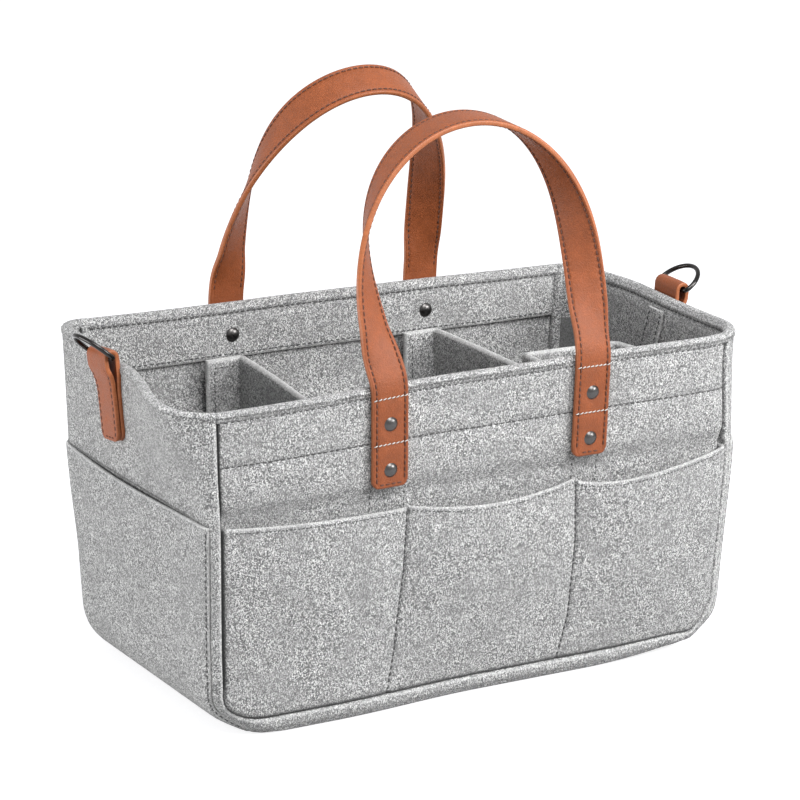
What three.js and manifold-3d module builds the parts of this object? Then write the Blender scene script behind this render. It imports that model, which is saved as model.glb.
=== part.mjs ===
// Nursery organizer: a felt caddy with leather handles, ring tabs and lift-out dividers.
// Millimetres, +Z up, front towards -Y, origin in the middle of the underside.

import * as THREE from 'three';
import { mergeVertices } from 'three/addons/utils/BufferGeometryUtils.js';
import Module from 'manifold-3d';

const wasm = await Module();
wasm.setup();

// Body
const LENGTH = 380;
const DEPTH = 206;
const HEIGHT = 204;
const BASE_LENGTH = 362;
const BASE_DEPTH = 191;
const CORNER = 30;
const END_BEND = 31;
const FRONT_BEND = 8;
const FELT = 3.2;
const GAP = 0.3;
const OVERLAP = 10;

// Front and back panels, sewn inside the folded edges of the end band
const SEAM_INSET = 17;
const SEAM_HEIGHT = 10;
const PANEL_CORNER = 28;
const UPPER_RECESS = 0.8;
const LOWER_RECESS = 2.9;

// Facing folded inside the rim
const FACING_HEIGHT = 34;
const FACING_FELT = 3;

// Outside pockets
const POCKET_FELT = 2.6;
const POCKET_BULGE = 8;
const END_BULGE = 8;
const BULGE_FOOT = 14;
const BULGE_RISE = 95;
const END_BULGE_RISE = 100;
const POCKET_SEAMS = [-58, 60];
const MOUTH_DROP = 71;
const MOUTH_DIP = 5.5;
const MOUTH_AT_SIDE = HEIGHT - MOUTH_DROP;
const MOUTH_AT_SEAM = MOUTH_AT_SIDE - MOUTH_DIP;
const MOUTH_SAG = [1, 6, 5];
const FOLD_SHOWN = 8;
const END_POCKET_FOOT = 2;

// Base board
const BOARD_THICKNESS = 3;
const BOARD_LENGTH = 300;
const BOARD_DEPTH = 174;
const BOARD_CORNER = 20;

// Dividers and their fastening strips
const DIVIDER_FELT = 5;
const DIVIDER_DROP = 32;
const DIVIDER_TOP = HEIGHT - DIVIDER_DROP;
const STRIP = 1.6;
const STRIP_WIDTH = 24;
const STRIP_FOOT = 20;
const STRIP_RISE = 13;
const STRIP_TOP = MOUTH_AT_SIDE + STRIP_RISE;
const HOOK_WIDTH = 20;
const HOOK_FOOT = 22;
const HOOK_DROP = 30;
const HOOK_TOP = STRIP_TOP - HOOK_DROP;
const LEFT_WEB_BACK = -66;
const LEFT_WEB_FRONT = -81.5;
const LEFT_FLANGE = 25;
const RIGHT_WEB_BACK = 75;
const RIGHT_WEB_FRONT = 86.5;
const RIGHT_FLANGE = 24;
const CROSS_LEFT = 93;
const CROSS_RIGHT = 166;
const CROSS_SPLAY = 10;
const CROSS_BACK = 16;
const CROSS_FLANGE = 44;

// Handles
const STRAP_WIDTH = 24;
const STRAP = 3.4;
const LEG_X = 69;
const LEG_LENGTH = 62;
const LEG_CORNER = 5;
const HINGE_LIFT = 2;
const FRONT_RISE = 142.5;
const FRONT_LEAN = 71;
const FRONT_CURL = -32;
const BACK_RISE = 144;
const BACK_LEAN = 14;
const BACK_CURL = 46;
const FRONT_TWIST = { swell: 0.075, square: 4, roll: 16, twistAt: 0.515, spread: 0.8, sway: -1 };
const BACK_TWIST = { swell: -0.026, square: 3.3, roll: 103, twistAt: 0.8, spread: 1.04, sway: -3 };
const FOOT_TURNS = [30, 60, 85];

// Rivets
const RIVET_RADIUS = 4.6;
const RIVET_RISE = 2.4;
const POST_RADIUS = 1.6;
const HOLE_LENGTH = 40;
const RIVET_DROP = [22.5, 51];

// Ring tabs and rings
const TAB_WIDTH = 25;
const TAB_NECK = 22;
const NECK_TOP = -7;
const NECK_LOW = -19;
const TAB_LEATHER = 2.8;
const TAB_DROP = 48;
const TAB_SHIFT = { left: 13, right: 0 };
const TAB_LEAN = { left: 7, right: 0 };
const TAB_CORNER = 6;
const FLARE_HEIGHT = 12;
const FLARE = 1.6;
const EYE_RADIUS = 2.2;
const EYE_LIFT = 3.5;
const RING_ROD = 1.5;
const RING_HALF_WIDTH = 15.5;
const RING_REACH = 19;
const RING_SHOULDER = 3;
const RING_TILT = { left: 50, right: 38 };

const RIM = HEIGHT;
const deg = THREE.MathUtils.degToRad;
const lerp = THREE.MathUtils.lerp;

// Materials

function material(colour, roughness, metalness = 0) {
  return new THREE.MeshStandardMaterial({ color: colour, roughness, metalness });
}
const felt = () => material(0xb4b4b2, 0.95);
const board = () => material(0x8e8e8c, 0.9);
const tape = () => material(0x9a9a98, 0.9);
const leather = () => material(0xb0643c, 0.55);
const gunmetal = () => material(0x4a4a4c, 0.3, 1);

// Solids and meshes

function solidOf(geometry) {
  const bare = geometry.clone();
  bare.deleteAttribute('normal');
  bare.deleteAttribute('uv');
  const welded = mergeVertices(bare, 1e-4);
  return new wasm.Manifold(new wasm.Mesh({
    numProp: 3,
    vertProperties: new Float32Array(welded.attributes.position.array),
    triVerts: new Uint32Array(welded.index.array),
  }));
}

function geometryOf(solid) {
  const mesh = solid.getMesh();
  const geometry = new THREE.BufferGeometry();
  geometry.setAttribute('position', new THREE.BufferAttribute(new Float32Array(mesh.vertProperties), 3));
  geometry.setIndex(new THREE.BufferAttribute(new Uint32Array(mesh.triVerts), 1));
  geometry.computeVertexNormals();
  return geometry;
}

const organizer = new THREE.Group();

function add(name, shape, look, parent = organizer) {
  const mesh = new THREE.Mesh(shape.isBufferGeometry ? shape : geometryOf(shape), look);
  mesh.name = name;
  parent.add(mesh);
  return mesh;
}

// A closed body through a row of rings of points, capped at both ends or joined into a loop
function loft(rings, loop = false) {
  const count = rings[0].length;
  const points = rings.flat();
  const index = [];
  const last = loop ? rings.length : rings.length - 1;
  for (let i = 0; i < last; i++) {
    const low = i * count;
    const high = ((i + 1) % rings.length) * count;
    for (let j = 0; j < count; j++) {
      const k = (j + 1) % count;
      index.push(low + j, low + k, high + k, low + j, high + k, high + j);
    }
  }
  if (!loop) {
    for (const [ring, start, up] of [[rings[0], 0, false], [rings.at(-1), points.length - count, true]]) {
      const centre = points.length;
      const middle = new THREE.Vector3();
      ring.forEach((p) => middle.addScaledVector(p, 1 / count));
      points.push(middle);
      for (let j = 0; j < count; j++) {
        const k = (j + 1) % count;
        if (up) index.push(start + j, start + k, centre);
        else index.push(start + k, start + j, centre);
      }
    }
  }
  const geometry = new THREE.BufferGeometry().setFromPoints(points);
  geometry.setIndex(index);
  return geometry;
}

// Plan of the body at height z, d outside its outer face

function bend(radius, height) {
  if (height >= radius) return 0;
  return radius - Math.sqrt(radius ** 2 - (radius - height) ** 2);
}
function halfLength(z, d = 0) {
  return lerp(BASE_LENGTH, LENGTH, z / HEIGHT) / 2 + d - bend(END_BEND + d, z + d);
}
function halfDepth(z, d = 0) {
  return lerp(BASE_DEPTH, DEPTH, z / HEIGHT) / 2 + d - bend(FRONT_BEND + d, z + d);
}
function recess(z) {
  const t = THREE.MathUtils.smoothstep(z, MOUTH_AT_SIDE + 1, STRIP_TOP);
  return lerp(LOWER_RECESS, UPPER_RECESS, t);
}

// One ring round the body: out(side, s, z) moves a front, back or end point outwards
function planRing(z, d, out, steps) {
  const a = halfLength(z, d);
  const b = halfDepth(z, d);
  const r = CORNER + d;
  const ring = [];
  const corners = [[1, -1, -90], [1, 1, 0], [-1, 1, 90], [-1, -1, 180]];
  corners.forEach(([sx, sy, from], corner) => {
    for (let i = 0; i <= steps.corner; i++) {
      const turn = deg(from + (90 * i) / steps.corner);
      ring.push(new THREE.Vector3(
        sx * (a - r) + r * Math.cos(turn),
        sy * (b - r) + r * Math.sin(turn),
        z,
      ));
    }
    const along = corner % 2 === 0 ? steps.end : steps.front;
    for (let i = 1; i < along; i++) {
      const t = i / along;
      if (corner === 0) ring.push(new THREE.Vector3(a, lerp(-b + r, b - r, t), z));
      if (corner === 1) ring.push(new THREE.Vector3(lerp(a - r, -a + r, t), b, z));
      if (corner === 2) ring.push(new THREE.Vector3(-a, lerp(b - r, -b + r, t), z));
      if (corner === 3) ring.push(new THREE.Vector3(lerp(-a + r, a - r, t), -b, z));
    }
  });
  for (const p of ring) {
    const moved = out(p.x, p.y, z, a, b, r);
    p.x += moved.x;
    p.y += moved.y;
  }
  return ring;
}

const flat = () => ({ x: 0, y: 0 });
const coarse = { corner: 6, end: 1, front: 1 };

function bodySolid(d, levels, out = flat, steps = coarse) {
  return solidOf(loft(levels.map((z) => planRing(z, d, out, steps))));
}

function bendLevels(d, top) {
  const shares = [0, 0.015, 0.06, 0.15, 0.28, 0.5, 0.75, 1];
  return [...shares.map((t) => t * (END_BEND + d) - d), top];
}

// Straight prisms through an outline, along Y (outline in x, z) and along X (outline in y, z)
function prismY(shape, from, to) {
  const geometry = new THREE.ExtrudeGeometry(shape, { depth: to - from, bevelEnabled: false, curveSegments: 8 });
  geometry.rotateX(Math.PI / 2);
  geometry.translate(0, to, 0);
  return geometry;
}
function prismX(shape, from, to) {
  const geometry = new THREE.ExtrudeGeometry(shape, { depth: to - from, bevelEnabled: false, curveSegments: 6 });
  geometry.rotateX(Math.PI / 2);
  geometry.rotateZ(Math.PI / 2);
  geometry.translate(from, 0, 0);
  return geometry;
}

// Outline of a panel inside its seam, grown by g, closed by its top edge
function panelShape(g, topPoints) {
  const low = halfLength(SEAM_HEIGHT + PANEL_CORNER) - SEAM_INSET + g;
  const r = PANEL_CORNER + g;
  const floor = SEAM_HEIGHT - g;
  const shape = new THREE.Shape();
  shape.moveTo(-topPoints[0][0], topPoints[0][1]);
  shape.lineTo(-low, floor + r);
  shape.absarc(-low + r, floor + r, r, Math.PI, 1.5 * Math.PI, false);
  shape.absarc(low - r, floor + r, r, 1.5 * Math.PI, 2 * Math.PI, false);
  topPoints.forEach(([x, z]) => shape.lineTo(x, z));
  return shape;
}
const seamX = (z, g = 0) => lerp(BASE_LENGTH, LENGTH, z / HEIGHT) / 2 - SEAM_INSET + g;

// Band: both ends and the bottom in one piece, its edges folded onto the front and back

const outside = bodySolid(0, bendLevels(0, RIM));
const inside = bodySolid(-FELT, [...bendLevels(-FELT, RIM), RIM + OVERLAP]);
const ABOVE = RIM + OVERLAP;
const panelSpace = solidOf(prismY(panelShape(GAP, [[seamX(ABOVE, GAP), ABOVE]]), -DEPTH, DEPTH));
const band = outside.subtract(inside).subtract(panelSpace);

// Panels

const sideways = (amount) => (x, y, z, a, b, r) => {
  const onFace = Math.abs(x) <= a - r + 1e-6;
  const onEnd = Math.abs(y) <= b - r + 1e-6;
  const near = onFace ? 1 : onEnd ? 0 : Math.max(0, 1 - ((Math.abs(x) - (a - r)) / r) ** 10);
  return { x: 0, y: Math.sign(y) * near * amount(x, z) };
};
const stepLevels = [0, 0.25, 0.5, 0.75, 1].map((t) => lerp(MOUTH_AT_SIDE + 1, STRIP_TOP, t));
const panelLevels = [FRONT_BEND, ...stepLevels, RIM];
const panelOuter = bodySolid(0, [...panelLevels.slice(0, -1), RIM], sideways((x, z) => -recess(z)));
const panelInner = bodySolid(-FELT, [...panelLevels.slice(0, -1), ABOVE], sideways((x, z) => -recess(z)));
const panelOutline = panelShape(0, [[seamX(ABOVE), ABOVE]]);
const panelRing = panelOuter.subtract(panelInner);
const frontPanel = panelRing.intersect(solidOf(prismY(panelOutline, -DEPTH, -DEPTH / 3)));
const backPanel = panelRing.intersect(solidOf(prismY(panelOutline, DEPTH / 3, DEPTH)));

// Three pockets on the front and on the back

const pocketEdges = [-seamX(MOUTH_AT_SIDE), ...POCKET_SEAMS, seamX(MOUTH_AT_SIDE)];
function pocketAt(x) {
  const i = x < POCKET_SEAMS[0] ? 0 : x < POCKET_SEAMS[1] ? 1 : 2;
  const t = (x - pocketEdges[i]) / (pocketEdges[i + 1] - pocketEdges[i]);
  return { i, t: THREE.MathUtils.clamp(t, 0, 1) };
}
function mouth(x) {
  const { i, t } = pocketAt(x);
  const from = i === 0 ? MOUTH_AT_SIDE : MOUTH_AT_SEAM;
  const to = i === 2 ? MOUTH_AT_SIDE : MOUTH_AT_SEAM;
  return lerp(from, to, t) - MOUTH_SAG[i] * Math.sin(Math.PI * t);
}
function bulge(x, z) {
  const { t } = pocketAt(x);
  const rise = THREE.MathUtils.clamp((z - BULGE_FOOT) / BULGE_RISE, 0, 1);
  return POCKET_BULGE * Math.sin(Math.PI * t) ** 0.8 * Math.sin((Math.PI / 2) * rise);
}
const mouthLine = [];
for (let i = 24; i >= 0; i--) {
  const x = lerp(-seamX(MOUTH_AT_SIDE), seamX(MOUTH_AT_SIDE), i / 24);
  mouthLine.push([x, mouth(x)]);
}
const pocketOutline = panelShape(0, mouthLine.map(([x, z]) => [x, z]));
const pocketSteps = { corner: 6, end: 1, front: 18 };
const pocketLevels = [0, 0.144, 0.32, 0.512, 0.72, 1.056].map((t) => lerp(FRONT_BEND, MOUTH_AT_SIDE, t));
const pocketOuter = bodySolid(0, pocketLevels, sideways((x, z) => bulge(x, z)), pocketSteps);
const pocketInner = bodySolid(-POCKET_FELT,
  [FRONT_BEND - 1, ...pocketLevels.slice(1, -1), pocketLevels.at(-1) + 2],
  sideways((x, z) => bulge(x, z)), pocketSteps);
const pocketRing = pocketOuter.subtract(pocketInner);
const frontPocket = pocketRing.intersect(solidOf(prismY(pocketOutline, -DEPTH, -DEPTH / 3)));
const backPocket = pocketRing.intersect(solidOf(prismY(pocketOutline, DEPTH / 3, DEPTH)));

// One pocket over each end, wrapped round the corners as far as the folded edge

function endBulge(x, y, z, a, b, r) {
  const t = THREE.MathUtils.clamp(Math.abs(y) / (b - r * 0.6), 0, 1);
  const rise = THREE.MathUtils.clamp((z - BULGE_FOOT) / END_BULGE_RISE, 0, 1);
  const out = END_BULGE * Math.cos((Math.PI / 2) * t) * Math.sin((Math.PI / 2) * rise);
  return { x: Math.abs(x) > a - r ? Math.sign(x) * out : 0, y: 0 };
}
const endSteps = { corner: 6, end: 6, front: 1 };
const endLevels = (d, top) => [...bendLevels(d, MOUTH_AT_SIDE * 0.45), MOUTH_AT_SIDE * 0.68, top];
const endTop = MOUTH_AT_SIDE + OVERLAP;
const endOuter = bodySolid(GAP + POCKET_FELT, endLevels(GAP + POCKET_FELT, endTop), endBulge, endSteps);
const endInner = bodySolid(GAP, endLevels(GAP, endTop + 2), endBulge, endSteps);
const endRegion = new THREE.Shape([[LENGTH / 6, END_POCKET_FOOT], [LENGTH, END_POCKET_FOOT],
  [LENGTH, MOUTH_AT_SIDE], [LENGTH / 6, MOUTH_AT_SIDE]].map(([x, z]) => new THREE.Vector2(x, z)));
const foldOutline = panelShape(FOLD_SHOWN, [[seamX(ABOVE, FOLD_SHOWN), ABOVE]]);
const rightPocket = endOuter.subtract(endInner).intersect(solidOf(prismY(endRegion, -DEPTH, DEPTH)))
  .subtract(solidOf(prismY(foldOutline, -DEPTH, DEPTH)));
const leftPocket = solidOf(geometryOf(rightPocket).rotateZ(Math.PI));

// Facing round the inside of the rim

const facingDown = sideways(() => -UPPER_RECESS);
const facing = bodySolid(-FELT - GAP, [RIM - FACING_HEIGHT, RIM], facingDown).subtract(
  bodySolid(-FELT - GAP - FACING_FELT, [RIM - FACING_HEIGHT - OVERLAP, ABOVE], facingDown));

// Rivet holes through legs, panels and facing

const legLean = Math.atan2(DEPTH - BASE_DEPTH, 2 * HEIGHT);
const faceY = (z) => halfDepth(z) - recess(z);
const holes = [];
for (const side of [-1, 1]) {
  for (const x of [-LEG_X, LEG_X]) {
    for (const drop of RIVET_DROP) {
      const hole = new THREE.CylinderGeometry(POST_RADIUS + GAP, POST_RADIUS + GAP, HOLE_LENGTH, 12);
      hole.rotateX(side * -legLean);
      holes.push(solidOf(hole.translate(x, side * faceY(RIM - drop), RIM - drop)));
    }
  }
}
const drilled = (solid) => holes.reduce((left, hole) => left.subtract(hole), solid);

add('end_and_bottom_band', band, felt());
add('front_panel', drilled(frontPanel), felt());
add('back_panel', drilled(backPanel), felt());
add('rim_facing', drilled(facing), felt());
add('front_pockets', frontPocket, felt());
add('back_pockets', backPocket, felt());
add('left_end_pocket', leftPocket, felt());
add('right_end_pocket', rightPocket, felt());

// Base board

const boardShape = new THREE.Shape();
const bx = BOARD_LENGTH / 2;
const by = BOARD_DEPTH / 2;
boardShape.moveTo(bx, -by + BOARD_CORNER);
[[1, 1], [-1, 1], [-1, -1], [1, -1]].forEach(([sx, sy], i) => {
  boardShape.absarc(sx * (bx - BOARD_CORNER), sy * (by - BOARD_CORNER), BOARD_CORNER,
    (Math.PI / 2) * i, (Math.PI / 2) * (i + 1), false);
});
const boardSolid = new THREE.ExtrudeGeometry(boardShape,
  { depth: BOARD_THICKNESS, bevelEnabled: false, curveSegments: 5 });
add('base_board', solidOf(boardSolid), board()).position.z = FELT + GAP;

// Loop strips sewn inside the panels, behind the handle legs

const floorTop = FELT + 2 * GAP + BOARD_THICKNESS;
const panelInside = (z) => halfDepth(z) - recess(z) - FELT;
function uprightStrip(x, outerY, levels, width = STRIP_WIDTH, thickness = STRIP) {
  const rings = levels.map((z) => [
    new THREE.Vector3(x - width / 2, outerY(z) - thickness, z),
    new THREE.Vector3(x + width / 2, outerY(z) - thickness, z),
    new THREE.Vector3(x + width / 2, outerY(z), z),
    new THREE.Vector3(x - width / 2, outerY(z), z),
  ]);
  return loft(rings);
}
const loopLevels = [STRIP_FOOT, ...stepLevels];
for (const [side, turn] of [['front', Math.PI], ['back', 0]]) {
  for (const [hand, x] of [['left', -LEG_X], ['right', LEG_X]]) {
    const alongX = side === 'front' ? -x : x;
    const strip = uprightStrip(alongX, (z) => panelInside(z) - GAP, loopLevels);
    add(`loop_strip_${side}_${hand}`, solidOf(strip), tape()).rotation.z = turn;
  }
}

// Dividers: two plies, flanged at both ends, with hook strips on the flanges

const flangeY = (z) => halfDepth(z) - LOWER_RECESS - FELT - 3 * GAP - 2 * STRIP;
function standing(points) {
  const shape = new THREE.Shape(points.map(([x, y]) => new THREE.Vector2(x, y)));
  const geometry = new THREE.ExtrudeGeometry(shape,
    { depth: DIVIDER_TOP - floorTop, bevelEnabled: false, steps: 3 });
  geometry.translate(0, 0, floorTop);
  const at = geometry.attributes.position;
  for (let i = 0; i < at.count; i++) {
    at.setY(i, (at.getY(i) * flangeY(at.getZ(i))) / flangeY(DIVIDER_TOP));
  }
  return solidOf(geometry);
}
const reach = flangeY(DIVIDER_TOP);
const ply = DIVIDER_FELT;

// Left divider: back flange to the left, front flange to the right
const halfPly = ply / 2;
add('divider_left', standing([
  [LEFT_WEB_BACK - LEFT_FLANGE, reach],
  [LEFT_WEB_BACK + halfPly, reach],
  [LEFT_WEB_FRONT + halfPly, -reach + ply],
  [LEFT_WEB_FRONT + LEFT_FLANGE, -reach + ply],
  [LEFT_WEB_FRONT + LEFT_FLANGE, -reach],
  [LEFT_WEB_FRONT - halfPly, -reach],
  [LEFT_WEB_BACK - halfPly, reach - ply],
  [LEFT_WEB_BACK - LEFT_FLANGE, reach - ply],
]), felt());

// Right divider: both flanges to the left
add('divider_right', standing([
  [RIGHT_WEB_BACK - RIGHT_FLANGE, reach],
  [RIGHT_WEB_BACK + halfPly, reach],
  [RIGHT_WEB_FRONT + halfPly, -reach],
  [RIGHT_WEB_FRONT - RIGHT_FLANGE, -reach],
  [RIGHT_WEB_FRONT - RIGHT_FLANGE, -reach + ply],
  [RIGHT_WEB_FRONT - halfPly, -reach + ply],
  [RIGHT_WEB_BACK - halfPly, reach - ply],
  [RIGHT_WEB_BACK - RIGHT_FLANGE, reach - ply],
]), felt());

const hookStrips = [
  ['divider_left_hook_back', LEFT_WEB_BACK - LEFT_FLANGE / 2, 1],
  ['divider_left_hook_front', LEFT_WEB_FRONT + LEFT_FLANGE / 2, -1],
  ['divider_right_hook_back', RIGHT_WEB_BACK - RIGHT_FLANGE / 2, 1],
  ['divider_right_hook_front', RIGHT_WEB_FRONT - RIGHT_FLANGE / 2, -1],
];
for (const [name, x, side] of hookStrips) {
  const strip = uprightStrip(side * x, (z) => flangeY(z) + GAP + STRIP, [HOOK_FOOT, HOOK_TOP], HOOK_WIDTH);
  add(name, solidOf(strip), tape()).rotation.z = side > 0 ? 0 : Math.PI;
}

// Cross divider: a U between the right divider and the right end, open to the front
const crossTip = CROSS_RIGHT + CROSS_SPLAY;
const roomInside = bodySolid(-FELT - GAP, bendLevels(-FELT - GAP, RIM));
add('divider_cross', standing([
  [CROSS_LEFT, CROSS_BACK], [CROSS_RIGHT, CROSS_BACK], [crossTip, CROSS_BACK - CROSS_FLANGE],
  [crossTip - ply, CROSS_BACK - CROSS_FLANGE], [CROSS_RIGHT - ply, CROSS_BACK - ply],
  [CROSS_LEFT + ply, CROSS_BACK - ply], [CROSS_LEFT + ply, CROSS_BACK - CROSS_FLANGE],
  [CROSS_LEFT, CROSS_BACK - CROSS_FLANGE],
]).intersect(roomInside), felt());

// Handles: riveted legs on the body and a twisted arch above the rim

const legShape = new THREE.Shape();
legShape.moveTo(-STRAP_WIDTH / 2, 0);
legShape.lineTo(-STRAP_WIDTH / 2, -LEG_LENGTH + LEG_CORNER);
legShape.absarc(-STRAP_WIDTH / 2 + LEG_CORNER, -LEG_LENGTH + LEG_CORNER, LEG_CORNER, Math.PI, 1.5 * Math.PI);
legShape.absarc(STRAP_WIDTH / 2 - LEG_CORNER, -LEG_LENGTH + LEG_CORNER, LEG_CORNER, 1.5 * Math.PI, 2 * Math.PI);
legShape.lineTo(STRAP_WIDTH / 2, 0);

function cap(rise) {
  const profile = [new THREE.Vector2(0, rise)];
  for (let i = 1; i <= 4; i++) {
    const t = (Math.PI / 2) * (i / 4);
    profile.push(new THREE.Vector2(RIVET_RADIUS * Math.sin(t), 0.5 + (rise - 0.5) * Math.cos(t)));
  }
  profile.push(new THREE.Vector2(RIVET_RADIUS, 0));
  return profile;
}
const insideOf = (drop) => FELT + (drop < FACING_HEIGHT ? GAP + FACING_FELT : 0);

for (const [side, sign] of [['front', -1], ['back', 1]]) {
  for (const [hand, x] of [['left', -LEG_X], ['right', LEG_X]]) {
    const leg = new THREE.Group();
    leg.position.set(x, sign * (faceY(RIM) + GAP), RIM);
    leg.rotation.x = sign * -legLean;
    organizer.add(leg);
    let strap = solidOf(prismY(legShape, sign > 0 ? 0 : -STRAP, sign > 0 ? STRAP : 0));
    for (const drop of RIVET_DROP) {
      const along = -drop / Math.cos(legLean);
      const hole = new THREE.CylinderGeometry(POST_RADIUS + GAP, POST_RADIUS + GAP, HOLE_LENGTH, 12);
      strap = strap.subtract(solidOf(hole.translate(0, 0, along)));
    }
    add(`handle_${side}_leg_${hand}`, strap, leather(), leg);
    RIVET_DROP.forEach((drop, i) => {
      const level = ['upper', 'lower'][i];
      const depth = STRAP + 2 * GAP + insideOf(drop);
      const profile = cap(RIVET_RISE);
      profile.push(new THREE.Vector2(POST_RADIUS, 0), new THREE.Vector2(POST_RADIUS, -depth));
      profile.push(new THREE.Vector2(0, -depth));
      const head = new THREE.LatheGeometry(profile.reverse(), 12);
      const rivet = add(`rivet_${side}_${hand}_${level}`, solidOf(head), gunmetal(), leg);
      rivet.position.set(0, sign * (STRAP + GAP), -drop / Math.cos(legLean));
      rivet.rotation.x = sign > 0 ? 0 : Math.PI;
      const back = cap(RIVET_RISE - 0.4);
      back.push(new THREE.Vector2(0, 0));
      const inner = add(`rivet_${side}_${hand}_${level}_inner_cap`,
        solidOf(new THREE.LatheGeometry(back.reverse(), 12)), gunmetal(), leg);
      inner.position.set(0, -sign * (3 * GAP + insideOf(drop)), -drop / Math.cos(legLean));
      inner.rotation.x = sign > 0 ? Math.PI : 0;
    });
  }
}

// Half-span and lean of an arch at share v of its rise
function archPoint(arch, t) {
  const reachOut = -Math.cos(t);
  const v = Math.sin(t) ** (2 / arch.square);
  const x = LEG_X * reachOut * (1 + arch.swell * Math.sin(Math.PI * v)) + arch.sway * v * v;
  return new THREE.Vector3(x, -arch.sign * (arch.lean * v + arch.curl * v * v), arch.rise * v);
}
function archSolid(arch) {
  const points = [];
  for (let i = 0; i <= 400; i++) {
    const s = i / 400;
    points.push(archPoint(arch, Math.PI * s * s * (3 - 2 * s)));
  }
  const curve = new THREE.CurvePath();
  for (let i = 1; i < points.length; i++) curve.add(new THREE.LineCurve3(points[i - 1], points[i]));
  const rings = [];
  const stations = 36;
  for (let i = 0; i <= stations; i++) {
    const u = i / stations;
    const at = curve.getPointAt(u);
    const ahead = curve.getPointAt(Math.min(1, u + 0.004));
    const behind = curve.getPointAt(Math.max(0, u - 0.004));
    const tangent = ahead.sub(behind).normalize();
    const share = at.z / arch.rise;
    const { twistAt, spread } = arch;
    let twist = deg(90 + arch.roll) * THREE.MathUtils.smoothstep(share, twistAt - spread, twistAt + spread);
    twist *= THREE.MathUtils.smoothstep(share, 0.06, 0.22);
    const across = new THREE.Vector3(0, 1, 0);
    const flatWay = new THREE.Vector3().crossVectors(across, tangent).normalize();
    const wide = flatWay.multiplyScalar(Math.cos(twist)).addScaledVector(across, Math.sin(twist));
    wide.addScaledVector(tangent, -wide.dot(tangent)).normalize();
    if (i === 0) wide.set(1, 0, 0);
    if (i === stations) wide.set(-1, 0, 0);
    const thick = new THREE.Vector3().crossVectors(tangent, wide).normalize();
    if (i === 0 || i === stations) thick.set(0, i === 0 ? 1 : -1, 0).multiplyScalar(i === 0 ? 1 : -1);
    const corner = (w, h) => at.clone()
      .addScaledVector(wide, (w * STRAP_WIDTH) / 2)
      .addScaledVector(thick, (h * STRAP) / 2);
    const ring = [corner(-1, -1), corner(1, -1), corner(1, 1), corner(-1, 1)];
    rings.push(ring);
    if (i === 0 || i === stations) {
      const foot = FOOT_TURNS.map((turn) => ring.map((p) => new THREE.Vector3(
        p.x,
        at.y + (p.y - at.y) * Math.cos(deg(turn)),
        -(STRAP / 2) * Math.sin(deg(turn)),
      )));
      if (i === 0) rings.unshift(...foot.reverse());
      else rings.push(...foot);
    }
  }
  return solidOf(loft(rings));
}
const hingeY = faceY(RIM) + GAP + STRAP / 2;
const arches = {
  front: { sign: -1, rise: FRONT_RISE, lean: FRONT_LEAN, curl: FRONT_CURL, ...FRONT_TWIST },
  back: { sign: 1, rise: BACK_RISE, lean: BACK_LEAN, curl: BACK_CURL, ...BACK_TWIST },
};
for (const [side, arch] of Object.entries(arches)) {
  const strap = add(`handle_${side}_arch`, archSolid(arch), leather());
  strap.position.set(0, arch.sign * hingeY, RIM + HINGE_LIFT);
}

// Ring tabs: one strip of leather folded round the ring's bar and sewn to the end

const leaf = TAB_LEATHER / 2;
const eyeRadius = EYE_RADIUS + leaf;
const eyeX = GAP + leaf + eyeRadius;
const outerX = GAP + TAB_LEATHER + GAP + leaf;
const tabPath = [];
tabPath.push(new THREE.Vector2(outerX, -TAB_DROP), new THREE.Vector2(outerX, -FLARE_HEIGHT));
tabPath.push(new THREE.Vector2(outerX + FLARE, -FLARE_HEIGHT * 0.6));
tabPath.push(new THREE.Vector2(eyeX + eyeRadius * 0.94, -FLARE_HEIGHT / 12));
for (let i = 0; i <= 8; i++) {
  const t = deg(180 * (i / 8));
  tabPath.push(new THREE.Vector2(eyeX + eyeRadius * Math.cos(t), EYE_LIFT + eyeRadius * Math.sin(t)));
}
tabPath.push(new THREE.Vector2(GAP + leaf, -TAB_DROP));
function thickened(path, half) {
  const left = [];
  const right = [];
  path.forEach((p, i) => {
    const before = path[Math.max(0, i - 1)];
    const after = path[Math.min(path.length - 1, i + 1)];
    const along = new THREE.Vector2().subVectors(after, before).normalize();
    left.push(new THREE.Vector2(p.x - along.y * half, p.y + along.x * half));
    right.unshift(new THREE.Vector2(p.x + along.y * half, p.y - along.x * half));
  });
  return new THREE.Shape([...left, ...right]);
}
const tabBlank = solidOf(prismY(thickened(tabPath, leaf), -TAB_WIDTH, TAB_WIDTH));
const tabFace = new THREE.Shape();
const half = TAB_WIDTH / 2;
const neck = TAB_NECK / 2;
tabFace.moveTo(-half, TAB_WIDTH);
tabFace.lineTo(-half, NECK_TOP);
tabFace.bezierCurveTo(-half, NECK_LOW + 4, -neck, NECK_TOP - 4, -neck, NECK_LOW);
tabFace.lineTo(-neck, -TAB_DROP + TAB_CORNER);
tabFace.absarc(-neck + TAB_CORNER, -TAB_DROP + TAB_CORNER, TAB_CORNER, Math.PI, 1.5 * Math.PI);
tabFace.absarc(neck - TAB_CORNER, -TAB_DROP + TAB_CORNER, TAB_CORNER, 1.5 * Math.PI, 2 * Math.PI);
tabFace.lineTo(neck, NECK_LOW);
tabFace.bezierCurveTo(neck, NECK_TOP - 4, half, NECK_LOW + 4, half, NECK_TOP);
tabFace.lineTo(half, TAB_WIDTH);
const tabSolid = tabBlank.intersect(solidOf(prismX(tabFace, -OVERLAP, TAB_WIDTH)));

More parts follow.
